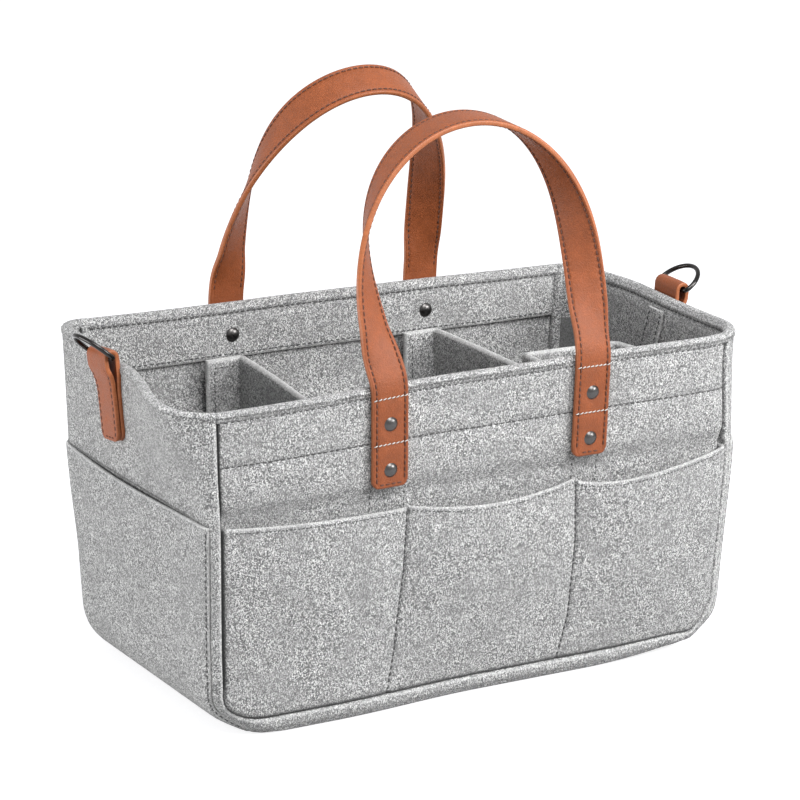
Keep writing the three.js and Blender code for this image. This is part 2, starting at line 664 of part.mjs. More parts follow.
function ringSolid() {
  const path = [];
  const shoulder = RING_SHOULDER;
  const straight = RING_REACH - RING_HALF_WIDTH;
  for (let i = 0; i <= 12; i++) {
    const t = deg(-90 + 180 * (i / 12));
    path.push(new THREE.Vector2(straight + RING_HALF_WIDTH * Math.cos(t), RING_HALF_WIDTH * Math.sin(t)));
  }
  for (let i = 1; i <= 2; i++) {
    const t = deg(90 + 90 * (i / 2));
    path.push(new THREE.Vector2(shoulder + shoulder * Math.cos(t),
      RING_HALF_WIDTH - shoulder + shoulder * Math.sin(t)));
  }
  for (let i = 0; i <= 1; i++) {
    const t = deg(180 + 90 * (i / 2));
    path.push(new THREE.Vector2(shoulder + shoulder * Math.cos(t),
      -RING_HALF_WIDTH + shoulder + shoulder * Math.sin(t)));
  }
  const rings = path.map((p, i) => {
    const before = path[(i + path.length - 1) % path.length];
    const after = path[(i + 1) % path.length];
    const along = new THREE.Vector2().subVectors(after, before).normalize();
    const circle = [];
    for (let j = 0; j < 8; j++) {
      const turn = (2 * Math.PI * (j + 0.5)) / 8;
      const side = RING_ROD * Math.cos(turn);
      circle.push(new THREE.Vector3(p.x + along.y * side, p.y - along.x * side, -RING_ROD * Math.sin(turn)));
    }
    return circle;
  });
  return solidOf(loft(rings, true));
}

const endLean = Math.atan2(LENGTH - BASE_LENGTH, 2 * HEIGHT);
for (const [hand, turn] of [['right', 0], ['left', Math.PI]]) {
  const end = new THREE.Group();
  end.position.set((hand === 'right' ? 1 : -1) * (LENGTH / 2), TAB_SHIFT[hand], RIM);
  end.rotation.z = turn;
  organizer.add(end);
  const leaning = new THREE.Group();
  leaning.rotation.y = endLean;
  end.add(leaning);
  const slanting = new THREE.Group();
  slanting.position.z = -TAB_DROP;
  slanting.rotation.x = deg(TAB_LEAN[hand]);
  leaning.add(slanting);
  const tab = add(`ring_tab_${hand}`, tabSolid, leather(), slanting);
  tab.position.z = TAB_DROP;
  const ring = add(`ring_${hand}`, ringSolid(), gunmetal(), slanting);
  ring.position.set(eyeX, 0, EYE_LIFT + TAB_DROP);
  ring.rotation.y = -deg(RING_TILT[hand]) - endLean;
}

export default organizer;
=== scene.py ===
# Felt nursery organizer with leather handles: looks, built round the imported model.

import math

import bpy
import numpy as np
from bpy.props import FloatProperty, FloatVectorProperty, PointerProperty
from mathutils import Matrix, Vector


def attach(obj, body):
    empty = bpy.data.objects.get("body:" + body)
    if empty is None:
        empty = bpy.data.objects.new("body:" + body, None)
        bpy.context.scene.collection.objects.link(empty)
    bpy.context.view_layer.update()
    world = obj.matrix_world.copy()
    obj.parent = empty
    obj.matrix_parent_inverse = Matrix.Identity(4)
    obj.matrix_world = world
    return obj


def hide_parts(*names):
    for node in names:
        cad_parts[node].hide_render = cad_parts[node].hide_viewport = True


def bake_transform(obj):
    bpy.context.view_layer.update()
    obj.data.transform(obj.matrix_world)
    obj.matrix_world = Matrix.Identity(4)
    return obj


bl_info = {
    "name": "Felt organizer",
    "version": (1, 0, 0),
    "blender": (4, 5, 0),
    "location": "View3D > Sidebar > Organizer",
    "description": "Builds a felt caddy with leather handles, pockets and lift-out dividers",
    "category": "Object",
}

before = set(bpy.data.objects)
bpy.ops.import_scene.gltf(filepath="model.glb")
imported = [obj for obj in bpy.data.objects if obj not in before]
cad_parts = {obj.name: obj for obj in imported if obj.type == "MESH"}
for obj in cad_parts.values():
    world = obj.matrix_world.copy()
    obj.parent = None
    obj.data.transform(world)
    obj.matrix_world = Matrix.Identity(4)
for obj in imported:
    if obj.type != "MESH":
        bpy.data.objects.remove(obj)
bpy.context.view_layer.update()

# Shapes are worked out in millimetres and become metres when a mesh is made
MM = 0.001

# Corners and bends of the felt body
CORNER = 14
END_BEND = 31
FRONT_BEND = 4
SEAM_INSET = 17
RIB_HEIGHT = 11.5
RIB_WIDTH = 9
PANEL_CORNERS = {-1: 17, 1: 28}
SEAM_EASE = {-1: -2.5, 1: 3.5}
RIM_BULGE = 14

# Half the length and depth at the base, and how much each grows for a millimetre of height
BASE_END, END_LEAN = 181, 0.0441
BASE_FACE, FACE_LEAN = 95.5, 0.0368

# How far behind the ribs the panels lie, and the height where the pockets start
UPPER_RECESS = 0.8
LOWER_RECESS = 4.0
RECESS_FROM = 134
RECESS_TO = 146

# Facing at the rim, and the rows of stitches that hold it
FACING_DEPTH = 34
TOPSTITCH_DROP = 6.2
HEM_DROP = 34.5
END_HEM_DROP = 20

# Pockets: seams between them at three heights, and how far their mouths sag
SEAM_HEIGHTS = (10, 39, 87, 127)
LEFT_SEAM = (-67.5, -61.5, -56.7, -55.4)
RIGHT_SEAM = (54.0, 61.2, 63.7, 61.7)
POCKET_FOOT = 7.5
MOUTH_AT_SIDE = 133
MOUTH_AT_SEAM = 128
MOUTH_SAG = (0.5, 6, 6.6)

# Dividers
DIVIDER_TOP = 172
FLOOR_TOP = 7

# Handles
LEG_X = 69
LEG_DROP = 62
HANDLE_LIFT = 2
STRAP_STANDOFF = 1.2
STRAP_SEAM = 2.6
STRAP_END = 5.0
GROOVE = 0.42
RIVET_DROPS = {"front": (22.5, 51), "back": (20.5, 49)}

# Ring tabs
TAB_DROP = 48
TAB_WIDTH = 25
TAB_NECK = 22
TAB_LEATHER = 2.8
TAB_SEAM = 2.1
TAB_END = 6.0
TAB_SHIFT = {"left": 13, "right": 0}
TAB_LEAN = {"left": 7, "right": 0}
EYE_RADIUS = 3.6
EYE_LIFT = 3.5
RING_TILT = {"left": 41, "right": 34}
RING_HALF_WIDTH = 15.5
RING_REACH = {"left": 21.0, "right": 19.0}
RING_ROD = 1.5
TAB_GAP = 0.3

# Leather threads: from one stitch to the next, their length and thickness, how far they stand
# up, and their slant
HANDLE_STITCH = (3.9, 2.9, 0.95, 0.16)
TAB_STITCH = (3.9, 2.8, 0.9, 0.12)
CROSS_STITCH = (2.9, 2.5, 0.75, 0.2, 0.3)

# Felt threads: their length and thickness, and how far they stand up
RIM_STITCH = (2.7, 0.9, 0.05)
HEM_STITCH = (2.7, 0.75)
TAPE_STITCH = (2.5, 0.7, 0.1)
SEAM_STITCH = (2.6, 1.2)
END_STITCH = (2.4, 0.85, 0.1)
STRIP_STITCH = (2.6, 0.9, 0.05)
FLANGE_STITCH = (2.1, 0.75, 0.15)
MOUTH_STITCH = (2.6, 1.5, 0.6)


def lerp(a, b, t):
    return a + (b - a) * t


def smooth(start, end, x):
    """0 before start, 1 after end, and a soft step between them."""
    t = np.clip((np.asarray(x, float) - start) / (end - start), 0, 1)
    return t * t * (3 - 2 * t)


def toned(colour, share):
    return [v * share for v in colour]


def distances(points):
    """How far along a line each of its points is."""
    steps = np.linalg.norm(np.diff(points, axis=0), axis=1)
    return np.concatenate([[0], np.cumsum(steps)])


def between(at, far, values):
    """Rows of values read off at given distances, far being the distance of each row."""
    return np.stack([np.interp(at, far, column) for column in np.transpose(values)], -1)


def rounding(end, radius):
    """How far a strip's side draws in, end being the distance from its rounded end."""
    curve = radius - np.sqrt(np.clip(radius**2 - (radius - end) ** 2, 0, None))
    return np.where(end < radius, curve, 0)


def length_setting(name, millimetres, description):
    return FloatProperty(
        name=name,
        description=description,
        default=millimetres * MM,
        min=0.0005,
        subtype="DISTANCE",
        unit="LENGTH",
    )


def colour_setting(name, colour, description):
    return FloatVectorProperty(
        name=name,
        description=description,
        default=colour,
        subtype="COLOR",
        size=3,
        min=0,
        max=1,
    )


class OrganizerSizes(bpy.types.PropertyGroup):
    """Sizes of the organizer."""

    rim_length: length_setting("Rim length", 380, "Length of the body at its rim")
    base_length: length_setting("Base length", 362, "Length of the body at its base")
    rim_depth: length_setting("Rim depth", 206, "Front to back at the rim")
    base_depth: length_setting("Base depth", 191, "Front to back at the base")
    rim_height: length_setting("Rim height", 204, "Height of the rim above the ground")
    felt: length_setting("Felt thickness", 3.2, "Thickness of one ply of felt")
    strap_width: length_setting("Strap width", 24, "Width of the leather handles")
    strap: length_setting("Strap thickness", 3.4, "Thickness of the leather handles")
    stitch: length_setting("Stitch length", 4.0, "From one stitch to the next")


class OrganizerColours(bpy.types.PropertyGroup):
    """Colours of the organizer."""

    felt: colour_setting("Felt", (0.72, 0.72, 0.71), "Ground colour of the felt")
    felt_light: colour_setting("Pale fibres", (0.72, 0.72, 0.71), "Palest fibres")
    felt_dark: colour_setting("Dark fibres", (0.085, 0.085, 0.088), "Darkest fibres")
    leather: colour_setting("Leather", (0.235, 0.062, 0.019), "Face of the leather")
    edge: colour_setting("Leather edge", (0.33, 0.105, 0.04), "Painted leather edges")
    thread: colour_setting("Leather thread", (0.085, 0.027, 0.014), "On the leather")
    # Near black: painted shade of thread sunk into the felt; the same rows show pale where they
    # cross the straps
    felt_thread: colour_setting("Felt thread", (0.045, 0.045, 0.045), "On the felt")
    cross_thread: colour_setting("Cross thread", (0.5, 0.49, 0.47), "Felt rows over the straps")
    metal: colour_setting("Metal", (0.10, 0.096, 0.094), "Rivets and rings")
    tape: colour_setting("Tape", (0.30, 0.30, 0.30), "Fastening tape")


# Shape of the felt body


class Body:
    """Outer surface of the felt body, in millimetres."""

    def __init__(self):
        s = bpy.context.scene.organizer_sizes
        self.height = s.rim_height / MM
        self.lengths = (s.base_length / MM, s.rim_length / MM)
        self.depths = (s.base_depth / MM, s.rim_depth / MM)
        self.felt = s.felt / MM
        self.stitch = s.stitch / MM

    def end_x(self, z):
        return lerp(*self.lengths, z / self.height) / 2

    def face_y(self, z):
        return lerp(*self.depths, z / self.height) / 2

    def recess(self, z):
        return lerp(LOWER_RECESS, UPPER_RECESS, smooth(RECESS_FROM, RECESS_TO, z))

    def face(self, x, z, out=0.0, side=-1):
        """Point of the front or back face, following the corners of the plan."""
        x, z = np.broadcast_arrays(np.asarray(x, float), np.asarray(z, float))
        over = np.clip(np.abs(x) - (self.end_x(z) - CORNER), 0, CORNER - 1)
        drop = CORNER - np.sqrt(CORNER**2 - over**2)
        y = self.face_y(z) - drop + out
        return np.stack([x, side * y, z], -1)

    def ring(self, u, z, out=0.0):
        """Point of the plan at height z, u from 0 to 1 round it from the front's middle."""
        u, z, out = np.broadcast_arrays(u, z, out)
        a, b = self.end_x(self.height) - CORNER, self.face_y(self.height) - CORNER
        arc = math.pi / 2 * CORNER
        total = 4 * (a + b + arc)
        along = (u % 1) * total
        x, y = np.zeros_like(along), np.zeros_like(along)
        at = -a
        parts = [
            ("front", 2 * a, -90), ("corner", arc, -90), ("end", 2 * b, 0),
            ("corner", arc, 0), ("front", 2 * a, 90), ("corner", arc, 90),
            ("end", 2 * b, 180), ("corner", arc, 180),
        ]
        spots = [(1, -1), (1, 1), (-1, 1), (-1, -1)]
        for i, (kind, size, start) in enumerate(parts):
            t = ((along - at) % total) / size
            here = t < 1
            sx, sy = spots[i // 2]
            cx, cy = self.end_x(z) - CORNER, self.face_y(z) - CORNER
            turn = np.radians(start + (90 * t if kind == "corner" else 0))
            px, py = sx * cx, sy * cy
            if kind == "front":
                px = sy * lerp(cx, -cx, t)
            if kind == "end":
                py = sx * lerp(-cy, cy, t)
            reach = CORNER + out
            x = np.where(here, px + reach * np.cos(turn), x)
            y = np.where(here, py + reach * np.sin(turn), y)
            at += size
        return np.stack([x, y, z + 0 * x], -1)

    def path(self, q):
        """Down an end, round its bend and along the bottom: q is 0 at the bottom's middle."""
        q = np.asarray(q, float)
        far = np.abs(q)
        flat = self.lengths[0] / 2 - END_BEND
        turn = np.clip((far - flat) / END_BEND, 0, math.pi / 2)
        level = END_BEND * (1 - np.cos(turn))
        z = level + np.clip(far - flat - END_BEND * math.pi / 2, 0, None)
        bent = self.end_x(z) - END_BEND + END_BEND * np.sin(turn)
        x = np.sign(q) * np.where(far < flat, far, bent)
        return x, z, math.pi / 2 - turn

    def rim_q(self, z):
        """The q at which the path reaches height z, above the bend."""
        return self.lengths[0] / 2 - END_BEND + END_BEND * math.pi / 2 + z - END_BEND

    def section(self, q):
        """Seam inset, corner radius and half width across the band at q."""
        _, z, turn = self.path(q)
        upright = np.cos(turn)
        inset = RIB_HEIGHT + (SEAM_INSET - RIB_HEIGHT) * upright
        inset = inset + np.where(np.asarray(q) < 0, SEAM_EASE[-1], SEAM_EASE[1]) * np.sin(2 * turn)
        radius = FRONT_BEND + (CORNER - FRONT_BEND) * upright
        return inset, radius, self.face_y(z)

    def band_width(self, q):
        inset, radius, half = self.section(q)
        angle = np.arccos(np.clip(1 - inset / radius, 0, 1))
        return 2 * (np.clip(inset - radius, 0, None) + radius * angle + half - radius)

    def band(self, q, w):
        """Point of the band w from its front seam, at q along it."""
        q, w = np.broadcast_arrays(np.asarray(q, float), np.asarray(w, float))
        inset, radius, half = self.section(q)
        total = self.band_width(q)
        back = w > total / 2
        from_seam = np.where(back, total - w, w)
        flat = np.clip(inset - radius, 0, None)
        angle = np.arccos(np.clip(1 - inset / radius, 0, 1))
        turned = angle - (from_seam - flat) / radius
        inward = radius - radius * np.cos(np.clip(turned, 0, None))
        inward = np.where(from_seam < flat, inset - from_seam, inward)
        y = half - radius + radius * np.sin(np.clip(turned, 0, None))
        y = np.where(from_seam < flat, half, y)
        y = np.where(turned < 0, half - radius + radius * turned, y)
        x, z, turn = self.path(q)
        x = x - np.sign(q) * np.cos(turn) * inward
        z = z + np.sin(turn) * inward
        return np.stack([x, np.where(back, y, -y), z], -1)


def end_at(z):
    """Half the body's length at height z, with the bends at the bottom."""
    z = np.clip(z, 0, None)
    bend = END_BEND - np.sqrt(END_BEND**2 - (END_BEND - np.minimum(z, END_BEND)) ** 2)
    return BASE_END + END_LEAN * z - bend


def recorner(p, hand, side, radius, slide, fade):
    """Gives one upright corner of the body another radius, and slides the felt round it."""
    x, y, z = hand * p[..., 0], side * p[..., 1], p[..., 2]
    end, face, r0 = end_at(z), BASE_FACE + FACE_LEAN * z, CORNER
    d, e = x - end, y - face
    turn = np.arctan2(np.clip(d + r0, 1e-6, None), np.clip(e + r0, 1e-6, None))
    corner = (d > -r0) & (e > -r0)
    front = ~corner & (d - e < 0)
    quarter = math.pi / 4
    depth = np.where(corner, r0 - np.hypot(d + r0, e + r0), np.where(front, -e, -d))
    along = np.where(corner, r0 * (turn - quarter), np.where(front, d + r0, -e - r0))
    along = along + np.where(corner, 0, np.where(front, -1, 1) * r0 * quarter)
    along = along + slide * (1 - smooth(-20, 22, along)) * smooth(-80, -20, along)
    half = radius * quarter
    turn = np.clip(along / radius + quarter, 0, 2 * quarter)
    past = np.clip(np.abs(along) - half, 0, None)
    slack = (radius - r0) * (1 - quarter) * smooth(40, 110, np.abs(along))
    new_d = -radius + (radius - depth) * np.sin(turn) - np.where(along < 0, past - slack, 0)
    new_e = -radius + (radius - depth) * np.cos(turn) - np.where(along > 0, past - slack, 0)
    near = (x > 20) & (y > 12) & (depth < 45)
    p[..., 0] += np.where(near, fade * hand * (end + new_d - x), 0)
    p[..., 1] += np.where(near, fade * side * (face + new_e - y), 0)


def settle(points):
    """How the soft felt stands: corners unlike each other, a bulge, and faint waves."""
    p = np.array(points, float)
    z = p[..., 2].copy()
    fade = 1 - smooth(206, 235, z)
    # Front left, front right, back left and back right corners, each radius by height
    tight = 6 + 10 * smooth(150, 204, z) + 15 * smooth(34, 4, z)
    recorner(p, -1, -1, tight, 8 * smooth(2, 20, z), fade)
    recorner(p, 1, -1, 23 + 14 * smooth(110, 200, z), 4.5 - 1.5 * smooth(150, 190, z), fade)
    recorner(p, -1, 1, 18 + 13 * smooth(135, 60, z), 0, fade)
    recorner(p, 1, 1, 22, 0, fade)
    # The rim bulges at the left front, and dips there and behind
    x, y = p[..., 0].copy(), p[..., 1].copy()
    top = smooth(135, 204, z) * fade
    left = smooth(-120, -186, x)
    bulge = RIM_BULGE * smooth(2, -70, y) * (1 - 0.75 * smooth(-76, -103, y))
    p[..., 0] -= bulge * left * top
    p[..., 2] -= 2.2 * smooth(-60, -170, x) * smooth(20, -90, y) * top
    p[..., 2] -= 3.0 * (x / 190) * smooth(20, 90, y) * top
    # The bottom's front edge bows to the left, and lifts to the right
    low = 1 - smooth(0, 60, z)
    p[..., 1] -= 6.0 * smooth(0, -100, x) * smooth(-178, -145, x) * smooth(-60, -90, y) * low
    lift = 0.0011 * np.clip(np.minimum(x, 135) - 75, 0, None) ** 2
    p[..., 2] += lift * np.clip(1 - z / 20, 0, None) * smooth(30, -80, y)
    # Faint waves in the walls, flat where the straps' legs hold them, and along the rim
    wall = smooth(4, 60, z) * fade
    ends = smooth(150, 185, np.abs(x))
    p[..., 0] += wall * ends * 0.7 * np.sin(y / 31 + z / 47 + 1.0)
    faces = smooth(60, 88, np.abs(y)) * (1 - ends)
    legs = 1 - np.exp(-(((np.abs(x) - LEG_X) / 22) ** 2))
    waves = np.sin(x / 37 + z / 71) + 0.6 * np.sin(x / 19 - z / 43 + 2.0)
    p[..., 1] += wall * faces * legs * 0.55 * waves
    rim = smooth(150, 204, z) * fade
    p[..., 2] += rim * (0.5 * np.sin(x / 52 + 0.6) + 0.35 * np.sin(y / 24))
    return p


# Meshes


def add_object(name, data):
    made = bpy.data.objects.new(name, data)
    bpy.context.scene.collection.objects.link(made)
    return made


def make_piece(name, vertices, faces, materials, picks=None, uv=None, marks=None):
    """A mesh object from points in millimetres, smooth shaded."""
    mesh = bpy.data.meshes.new(name)
    mesh.from_pydata((np.asarray(vertices) * MM).tolist(), [], faces)
    mesh.polygons.foreach_set("use_smooth", [True] * len(mesh.polygons))
    for material in materials:
        mesh.materials.append(material)
    if picks is not None:
        mesh.polygons.foreach_set("material_index", np.asarray(picks, np.int32))
    if uv is not None:
        layer = mesh.uv_layers.new(name="Surface")
        loops = np.zeros(len(mesh.loops), np.int32)
        mesh.loops.foreach_get("vertex_index", loops)
        layer.data.foreach_set("uv", (np.asarray(uv) * MM)[loops].ravel())
    # Painted shade and pale cut edges of the felt, kept as a point attribute for its material
    if marks is not None:
        attribute = mesh.attributes.new("crease", "FLOAT", "POINT")
        attribute.data.foreach_set("value", np.asarray(marks, np.float32))
    mesh.validate()
    mesh.update()
    return add_object(name, mesh)


def finish_piece(piece, body, nodes=()):
    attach(piece, body)
    if nodes:
        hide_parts(*nodes)
    return piece


# Where rows lie beside a sheet's edge, as shares of its edge radius, and its thickness there
ROUND_EDGE = ((0, 0), (0.12, 0.47), (0.5, 0.866), (1, 1))
CUT_EDGE = ((0, 0), (0.03, 0.62), (0.35, 0.93), (1, 1))


def edged(start, end, step, radius, edge=ROUND_EDGE, extra=()):
    """Rows from start to end with close ones at its edges, and the thickness at each."""
    near = [(start + s * radius, t) for s, t in edge]
    far = [(end - s * radius, t) for s, t in edge[::-1]]
    first, last = near[-1][0], far[0][0]
    count = max(2, int(round((last - first) / step)))
    middle = [(first + (last - first) * i / count, 1) for i in range(1, count)]
    middle = [m for m in middle if all(abs(m[0] - e) > 0.4 * step for e in extra)]
    rows = sorted(near + middle + [(e, 1) for e in extra] + far)
    return np.array([r[0] for r in rows]), np.array([r[1] for r in rows], float)


def thick_sheet(grid, out, back, share_u, share_v, toward=None):
    """Closed sheet: out and back are its two faces' distances from the grid's surface.
    Its outline tapers by the shares, and the outermost rows are one shared row. The out
    face looks toward the given directions, or away from the middle of the body."""
    m, n = grid.shape[:2]
    normal = np.cross(np.gradient(grid, axis=0), np.gradient(grid, axis=1))
    normal = normal / np.maximum(np.linalg.norm(normal, axis=-1, keepdims=True), 1e-9)
    if toward is None:
        toward = grid - np.array([0, 0, 100.0])
    flip = float(np.sum(normal * toward)) < 0
    normal = -normal if flip else normal
    out = np.broadcast_to(out, (m, n))
    back = np.broadcast_to(back, (m, n))
    share = np.minimum(share_u[:, None], share_v[None, :])
    middle = (out + back) / 2
    high = grid + normal * (middle + (out - middle) * share)[..., None]
    low = grid + normal * (middle + (back - middle) * share)[..., None]
    index = np.arange(m * n).reshape(m, n)
    fresh = np.flatnonzero(share.ravel() > 0)
    lower = index.ravel().copy()
    lower[fresh] = m * n + np.arange(len(fresh))
    lower = lower.reshape(m, n)
    vertices = np.concatenate([high.reshape(-1, 3), low.reshape(-1, 3)[fresh]])
    source = np.concatenate([np.arange(m * n), fresh])
    i = np.repeat(np.arange(m - 1), n - 1)
    j = np.tile(np.arange(n - 1), m - 1)
    k = i + 1
    top = np.stack([index[i, j], index[k, j], index[k, j + 1], index[i, j + 1]], 1)
    bottom = np.stack([lower[i, j], lower[i, j + 1], lower[k, j + 1], lower[k, j]], 1)
    if flip:
        top, bottom = top[:, ::-1], bottom[:, ::-1]
    faces = np.concatenate([top, bottom])
    cells = np.tile(i * n + j, 2)
    good = [len(set(f)) > 2 for f in faces.tolist()]
    faces = [list(dict.fromkeys(f)) for f, g in zip(faces.tolist(), good) if g]
    return vertices, faces, source, cells[np.array(good)]


def felt_piece(name, grid, out, back, share_u, share_v, crease=0.0, cut=0.8, toward=None):
    """A sheet of felt with painted shade where given, and cut edges painted pale: their lighter
    fibres and a painted highlight.
    """
    points, faces, source, _ = thick_sheet(grid, out, back, share_u, share_v, toward)
    share = np.minimum(share_u[:, None], share_v[None, :])
    # Cut edges painted pale: partly their lighter fibres, partly a painted highlight
    pale = -cut * (share < 0.95).ravel()
    marks = (pale + np.broadcast_to(crease, grid.shape[:2]).ravel())[source]
    marks[len(pale):] = pale[source[len(pale):]]
    return make_piece(name, points, faces, [felt_material()], marks=marks)


def ring_faces(count, around):
    """Faces of a band of rings joined in a loop, with so many points round each."""
    faces = []
    for i in range(count):
        k = (i + 1) % count
        for j in range(around):
            f = (j + 1) % around
            faces.append([i * around + j, i * around + f, k * around + f, k * around + j])
    return faces


def turned_profile(profile, steps=40):
    """Vertices and faces of a turned form about +Y, from (radius, height) points."""
    vertices, faces = [], []
    rows = []
    for r, h in profile:
        if r < 1e-6:
            rows.append([len(vertices)])
            vertices.append((0, h, 0))
            continue
        rows.append([])
        for j in range(steps):
            a = 2 * math.pi * j / steps
            rows[-1].append(len(vertices))
            vertices.append((r * math.cos(a), h, r * math.sin(a)))
    for low, high in zip(rows, rows[1:]):
        for j in range(steps):
            k = (j + 1) % steps
            ring = [low[j % len(low)], low[k % len(low)], high[k % len(high)], high[j % len(high)]]
            ring = list(dict.fromkeys(ring))
            if len(ring) > 2:
                faces.append(ring)
    return np.array(vertices, float), faces


# Outline of one stitch: place along it, thickness, and height above the felt or leather
STITCH_PROFILE = ((-0.5, 0.35, -0.9), (-0.44, 0.8, -0.35), (-0.2, 1, 0.1), (0.2, 1, 0.1),
                  (0.44, 0.8, -0.35), (0.5, 0.35, -0.9))


def stitch_row(points, ups, spacing, length, thick, lift=0.0, slant=0.0):
    """Short raised threads along a line; ups is the surface's normal at each point."""
    points, ups = np.asarray(points, float), np.asarray(ups, float)
    far = distances(points)
    count = max(1, int(far[-1] / spacing))
    first = (far[-1] - count * spacing) / 2
    places = [first + spacing * (i + 0.5) for i in range(count)]
    vertices, faces = [], []
    for s in places:
        up = between(s, far, ups)
        up /= np.linalg.norm(up)
        ends = min(s + length / 2, far[-1]), max(s - length / 2, 0)
        ahead = between(ends[0], far, points) - between(ends[1], far, points)
        ahead /= np.linalg.norm(ahead)
        aside = np.cross(up, ahead)
        ahead = ahead * math.cos(slant) + aside * math.sin(slant)
        aside = np.cross(up, ahead)
        middle = between(s, far, points) + up * lift
        base = len(vertices)
        for t, wide, high in STITCH_PROFILE:
            centre = middle + ahead * t * length + up * high * thick / 2
            for j in range(6):
                a = 2 * math.pi * j / 6
                round_it = aside * math.cos(a) + up * math.sin(a)
                vertices.append(centre + round_it * wide * thick / 2)
        for i in range(len(STITCH_PROFILE) - 1):
            for j in range(6):
                k = (j + 1) % 6
                a, b = base + i * 6, base + (i + 1) * 6
                faces.append([a + j, a + k, b + k, b + j])
        faces.append([base + j for j in range(6)][::-1])
        faces.append([base + (len(STITCH_PROFILE) - 1) * 6 + j for j in range(6)])
    return np.array(vertices), faces


def join_rows(name, rows, thread):
    """One object out of several rows of stitches, each its points and faces."""
    faces, base = [], 0
    for points, cells in rows:
        faces += [[base + i for i in f] for f in cells]
        base += len(points)
    return make_piece(name, np.concatenate([points for points, _ in rows]), faces, [thread])


def sew(name, rows, thread, body="caddy"):
    return finish_piece(join_rows(name, rows, thread), body)


# Materials


# Near black painted shade, laid in seams, grooves, stitch creases and just above the end pockets'
# lips
PAINTED_SHADE = (0.02, 0.02, 0.02)


def set_values(made, values):
    for key, value in values.items():
        made.inputs[key].default_value = value


def node(tree, kind, values=None, **settings):
    made = tree.nodes.new(kind)
    for key, value in settings.items():
        setattr(made, key, value)
    set_values(made, values or {})
    return made


def texture(tree, kind, vector, values, **settings):
    """A texture that reads the given vector."""
    made = node(tree, "ShaderNodeTex" + kind, values, **settings)
    tree.links.new(vector, made.inputs["Vector"])
    return made.outputs


def surface(tree, kind="Object"):
    return node(tree, "ShaderNodeTexCoord").outputs[kind]


def new_group(name, scale, outputs):
    """A group with a vector and a number that scales it going in, and masks coming out."""
    tree = bpy.data.node_groups.new(name, "ShaderNodeTree")
    new_socket = tree.interface.new_socket
    new_socket("Vector", in_out="INPUT", socket_type="NodeSocketVector")
    new_socket(scale, in_out="INPUT", socket_type="NodeSocketFloat").default_value = 1.0
    for label in outputs:
        new_socket(label, in_out="OUTPUT", socket_type="NodeSocketFloat")
    given, result = tree.nodes.new("NodeGroupInput"), tree.nodes.new("NodeGroupOutput")
    scaled = node(tree, "ShaderNodeVectorMath", operation="SCALE")
    tree.links.new(given.outputs["Vector"], scaled.inputs[0])
    tree.links.new(given.outputs[scale], scaled.inputs["Scale"])
    return tree, scaled.outputs[0], result


def ranged(tree, value, low, high, to_low, to_high):
    spread = node(tree, "ShaderNodeMapRange", {
        "From Min": low, "From Max": high, "To Min": to_low, "To Max": to_high})
    tree.links.new(value, spread.inputs["Value"])
    return spread.outputs["Result"]


def fibres_group():
    """Matted fibres lying every way: masks of dark and pale ones, cloudiness and height."""
    if "Felt fibres" in bpy.data.node_groups:
        return bpy.data.node_groups["Felt fibres"]
    masks = ("Dark", "Pale", "Speckle", "Tufts", "Cloud", "Height")
    tree, scaled, result = new_group("Felt fibres", "Fineness", masks)
    link = tree.links.new

    def shifted(place, values=None):
        mapping = node(tree, "ShaderNodeMapping", values)
        mapping.inputs["Location"].default_value = place
        link(scaled, mapping.inputs["Vector"])
        return mapping.outputs[0]

    def strands(turn, high, offset):
        """Straight fibres lying one way: their noise, and where they show."""
        place = (offset, offset * 1.7, offset * 0.6)
        vector = shifted(place, {"Rotation": turn, "Scale": (2100, 2100, 520)})
        noise = texture(tree, "Noise", vector, {"Scale": 1.0, "Detail": 2.0, "Roughness": 0.6})
        return noise["Fac"], ranged(tree, noise["Fac"], 0.58, high, 0, 1)

    def hairs(scale, offset, width):
        """Curly thin lines, along one level of a noise."""
        vector = shifted((offset, offset * 0.7, offset * 1.3))
        noise = texture(tree, "Noise", vector, {"Scale": scale, "Detail": 1.5, "Roughness": 0.5})
        away = node(tree, "ShaderNodeMath", operation="SUBTRACT")
        away.inputs[1].default_value = 0.5
        size = node(tree, "ShaderNodeMath", operation="ABSOLUTE")
        link(noise["Fac"], away.inputs[0])
        link(away.outputs[0], size.inputs[0])
        return ranged(tree, size.outputs[0], width, width * 0.35, 0, 1)

    def peak(sockets, operation="MAXIMUM"):
        first = sockets[0]
        for other in sockets[1:]:
            joined = node(tree, "ShaderNodeMath", operation=operation)
            link(first, joined.inputs[0])
            link(other, joined.inputs[1])
            first = joined.outputs[0]
        return first

    turns = [(0.8, 0.6, 0.2), (1.0, -0.7, 0.9), (2.2, 0.9, -0.6), (0.1, 1.2, 2.1), (1.6, 0.3, 0.7)]
    dark = [strands(t, 0.65, 3.0 * i) for i, t in enumerate(turns)]
    pale = [strands(t, 0.66, 20 + 3.0 * i) for i, t in enumerate(turns)]
    speckle = {"Scale": 1350.0, "Detail": 0.5, "Roughness": 0.5}
    cloud = {"Scale": 40.0, "Detail": 4.0, "Roughness": 0.65}
    made = {
        "Dark": peak([d[1] for d in dark] + [hairs(640, 5.0, 0.03), hairs(880, 9.0, 0.032)]),
        "Pale": peak([p[1] for p in pale]),
        "Speckle": texture(tree, "Noise", scaled, speckle)["Fac"],
        "Tufts": texture(tree, "Voronoi", scaled, {"Scale": 1150.0})["Color"],
        "Cloud": texture(tree, "Noise", scaled, cloud)["Fac"],
        "Height": peak([d[0] for d in dark[:3]] + [p[0] for p in pale[:2]], "ADD"),
    }
    for label, socket in made.items():
        link(socket, result.inputs[label])
    return tree


